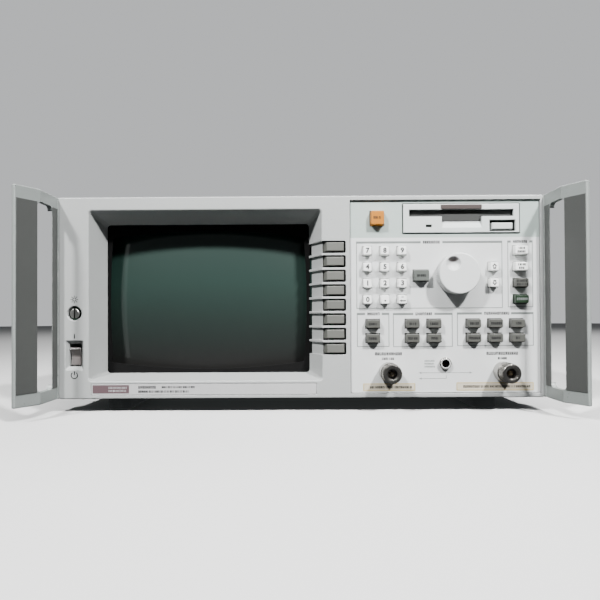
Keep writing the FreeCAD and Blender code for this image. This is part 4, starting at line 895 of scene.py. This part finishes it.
def studio():
    floor_material, tree = new_material("floor")
    place = add(tree, "ShaderNodeTexCoord").outputs["Object"]
    tone = blended(tree, noise(tree, place, 3.0, 4.0), (0.70, 0.70, 0.695), (0.735, 0.735, 0.73))
    shader = add(tree, "ShaderNodeBsdfPrincipled", Roughness=0.7)
    link(tree, tone, shader.inputs["Base Color"])
    output = tree.nodes.new("ShaderNodeOutputMaterial")
    link(tree, shader.outputs[0], output.inputs["Surface"])
    mesh = bmesh.new()
    bmesh.ops.create_circle(mesh, cap_ends=True, segments=96, radius=STAGE_R)
    stage_piece("floor", mesh, floor_material)

    backdrop_material, tree = new_material("backdrop")
    glow = add(tree, "ShaderNodeEmission", Color=(0.96, 0.98, 1.0, 1.0), Strength=BACKDROP_GLOW)
    output = tree.nodes.new("ShaderNodeOutputMaterial")
    link(tree, glow.outputs[0], output.inputs["Surface"])
    mesh = bmesh.new()
    bmesh.ops.create_cone(mesh, segments=96, radius1=STAGE_R, radius2=STAGE_R, depth=2 * STAGE_R)
    stage_piece("backdrop", mesh, backdrop_material)

    world = bpy.data.worlds.new("studio")
    world.use_nodes = True
    background = world.node_tree.nodes["Background"]
    background.inputs["Color"].default_value = (0.93, 0.97, 1.0, 1.0)
    background.inputs["Strength"].default_value = WORLD_GLOW
    bpy.context.scene.world = world


def stage_piece(name, mesh, material):
    """Floor or backdrop. It throws no light on the object and isn't reflected in it."""
    data = bpy.data.meshes.new(name)
    mesh.to_mesh(data)
    mesh.free()
    data.materials.append(material)
    made = bpy.data.objects.new(name, data)
    bpy.context.scene.collection.objects.link(made)
    made.visible_diffuse = False
    made.visible_glossy = False
    return made


MIDDLE = Vector((0.07, FACE_Y, BASE_Z + HEIGHT * MM))
BODY = Vector((0, 0.2, 0.1))
LIGHTS = (          # name, azimuth, elevation, distance, size, power, target, spread
    ("light_left", -40, 40, 1.9, 0.15, 8.4, MIDDLE, 60),
    ("light_right", 34, 41, 1.9, 0.15, 10.5, MIDDLE, 60),
    ("light_top", 3, 60, 1.6, 0.5, 15, MIDDLE, 180),
    ("light_back", 165, 50, 2.2, 1.2, 38, BODY, 180),
)


def soft_light(name, azimuth, elevation, distance, size, power, target, spread):
    """A square soft light that faces the target. Azimuth 0 is in front and 90 to the right."""
    a, e = math.radians(azimuth), math.radians(elevation)
    away = Vector((math.sin(a) * math.cos(e), -math.cos(a) * math.cos(e), math.sin(e)))
    lamp = bpy.data.lights.new(name, "AREA")
    lamp.shape = "SQUARE"
    lamp.size = size
    lamp.energy = power
    lamp.spread = math.radians(spread)
    holder = bpy.data.objects.new(name, lamp)
    holder.location = target + away * distance
    holder.rotation_mode = "QUATERNION"
    holder.rotation_quaternion = (-away).to_track_quat("-Z", "Y")
    holder.visible_camera = False
    bpy.context.scene.collection.objects.link(holder)


CAMERA_PLACE = (2.94, 489.13, 82.95)        # x, distance in front of the face and height, in mm
CAMERA_TURN = (-0.353, 0.716, -0.301)       # yaw, pitch and roll, in degrees
CAMERA_LENS = 33.57
CAMERA_SHIFT = (-0.0012, 0.0165)


def camera():
    """The viewing position, looking almost straight at the front, a little above the table."""
    x, away, height = CAMERA_PLACE
    yaw, pitch, roll = (math.radians(angle) for angle in CAMERA_TURN)
    forward = Vector((math.sin(yaw) * math.cos(pitch), math.cos(yaw) * math.cos(pitch), math.sin(pitch)))
    level = forward.cross(Vector((0, 0, 1))).normalized()
    raised = level.cross(forward)
    right = level * math.cos(roll) + raised * math.sin(roll)
    up = raised * math.cos(roll) - level * math.sin(roll)
    data = bpy.data.cameras.new("camera")
    data.sensor_width = 36.0
    data.lens = CAMERA_LENS
    data.shift_x, data.shift_y = CAMERA_SHIFT
    data.clip_start = 0.01
    holder = bpy.data.objects.new("camera", data)
    turn = Matrix((right, up, -forward)).transposed().to_4x4()
    holder.matrix_world = Matrix.Translation((x * MM, FACE_Y - away * MM, height * MM)) @ turn
    bpy.context.scene.collection.objects.link(holder)
    bpy.context.scene.camera = holder


studio()
for values in LIGHTS:
    soft_light(*values)
camera()
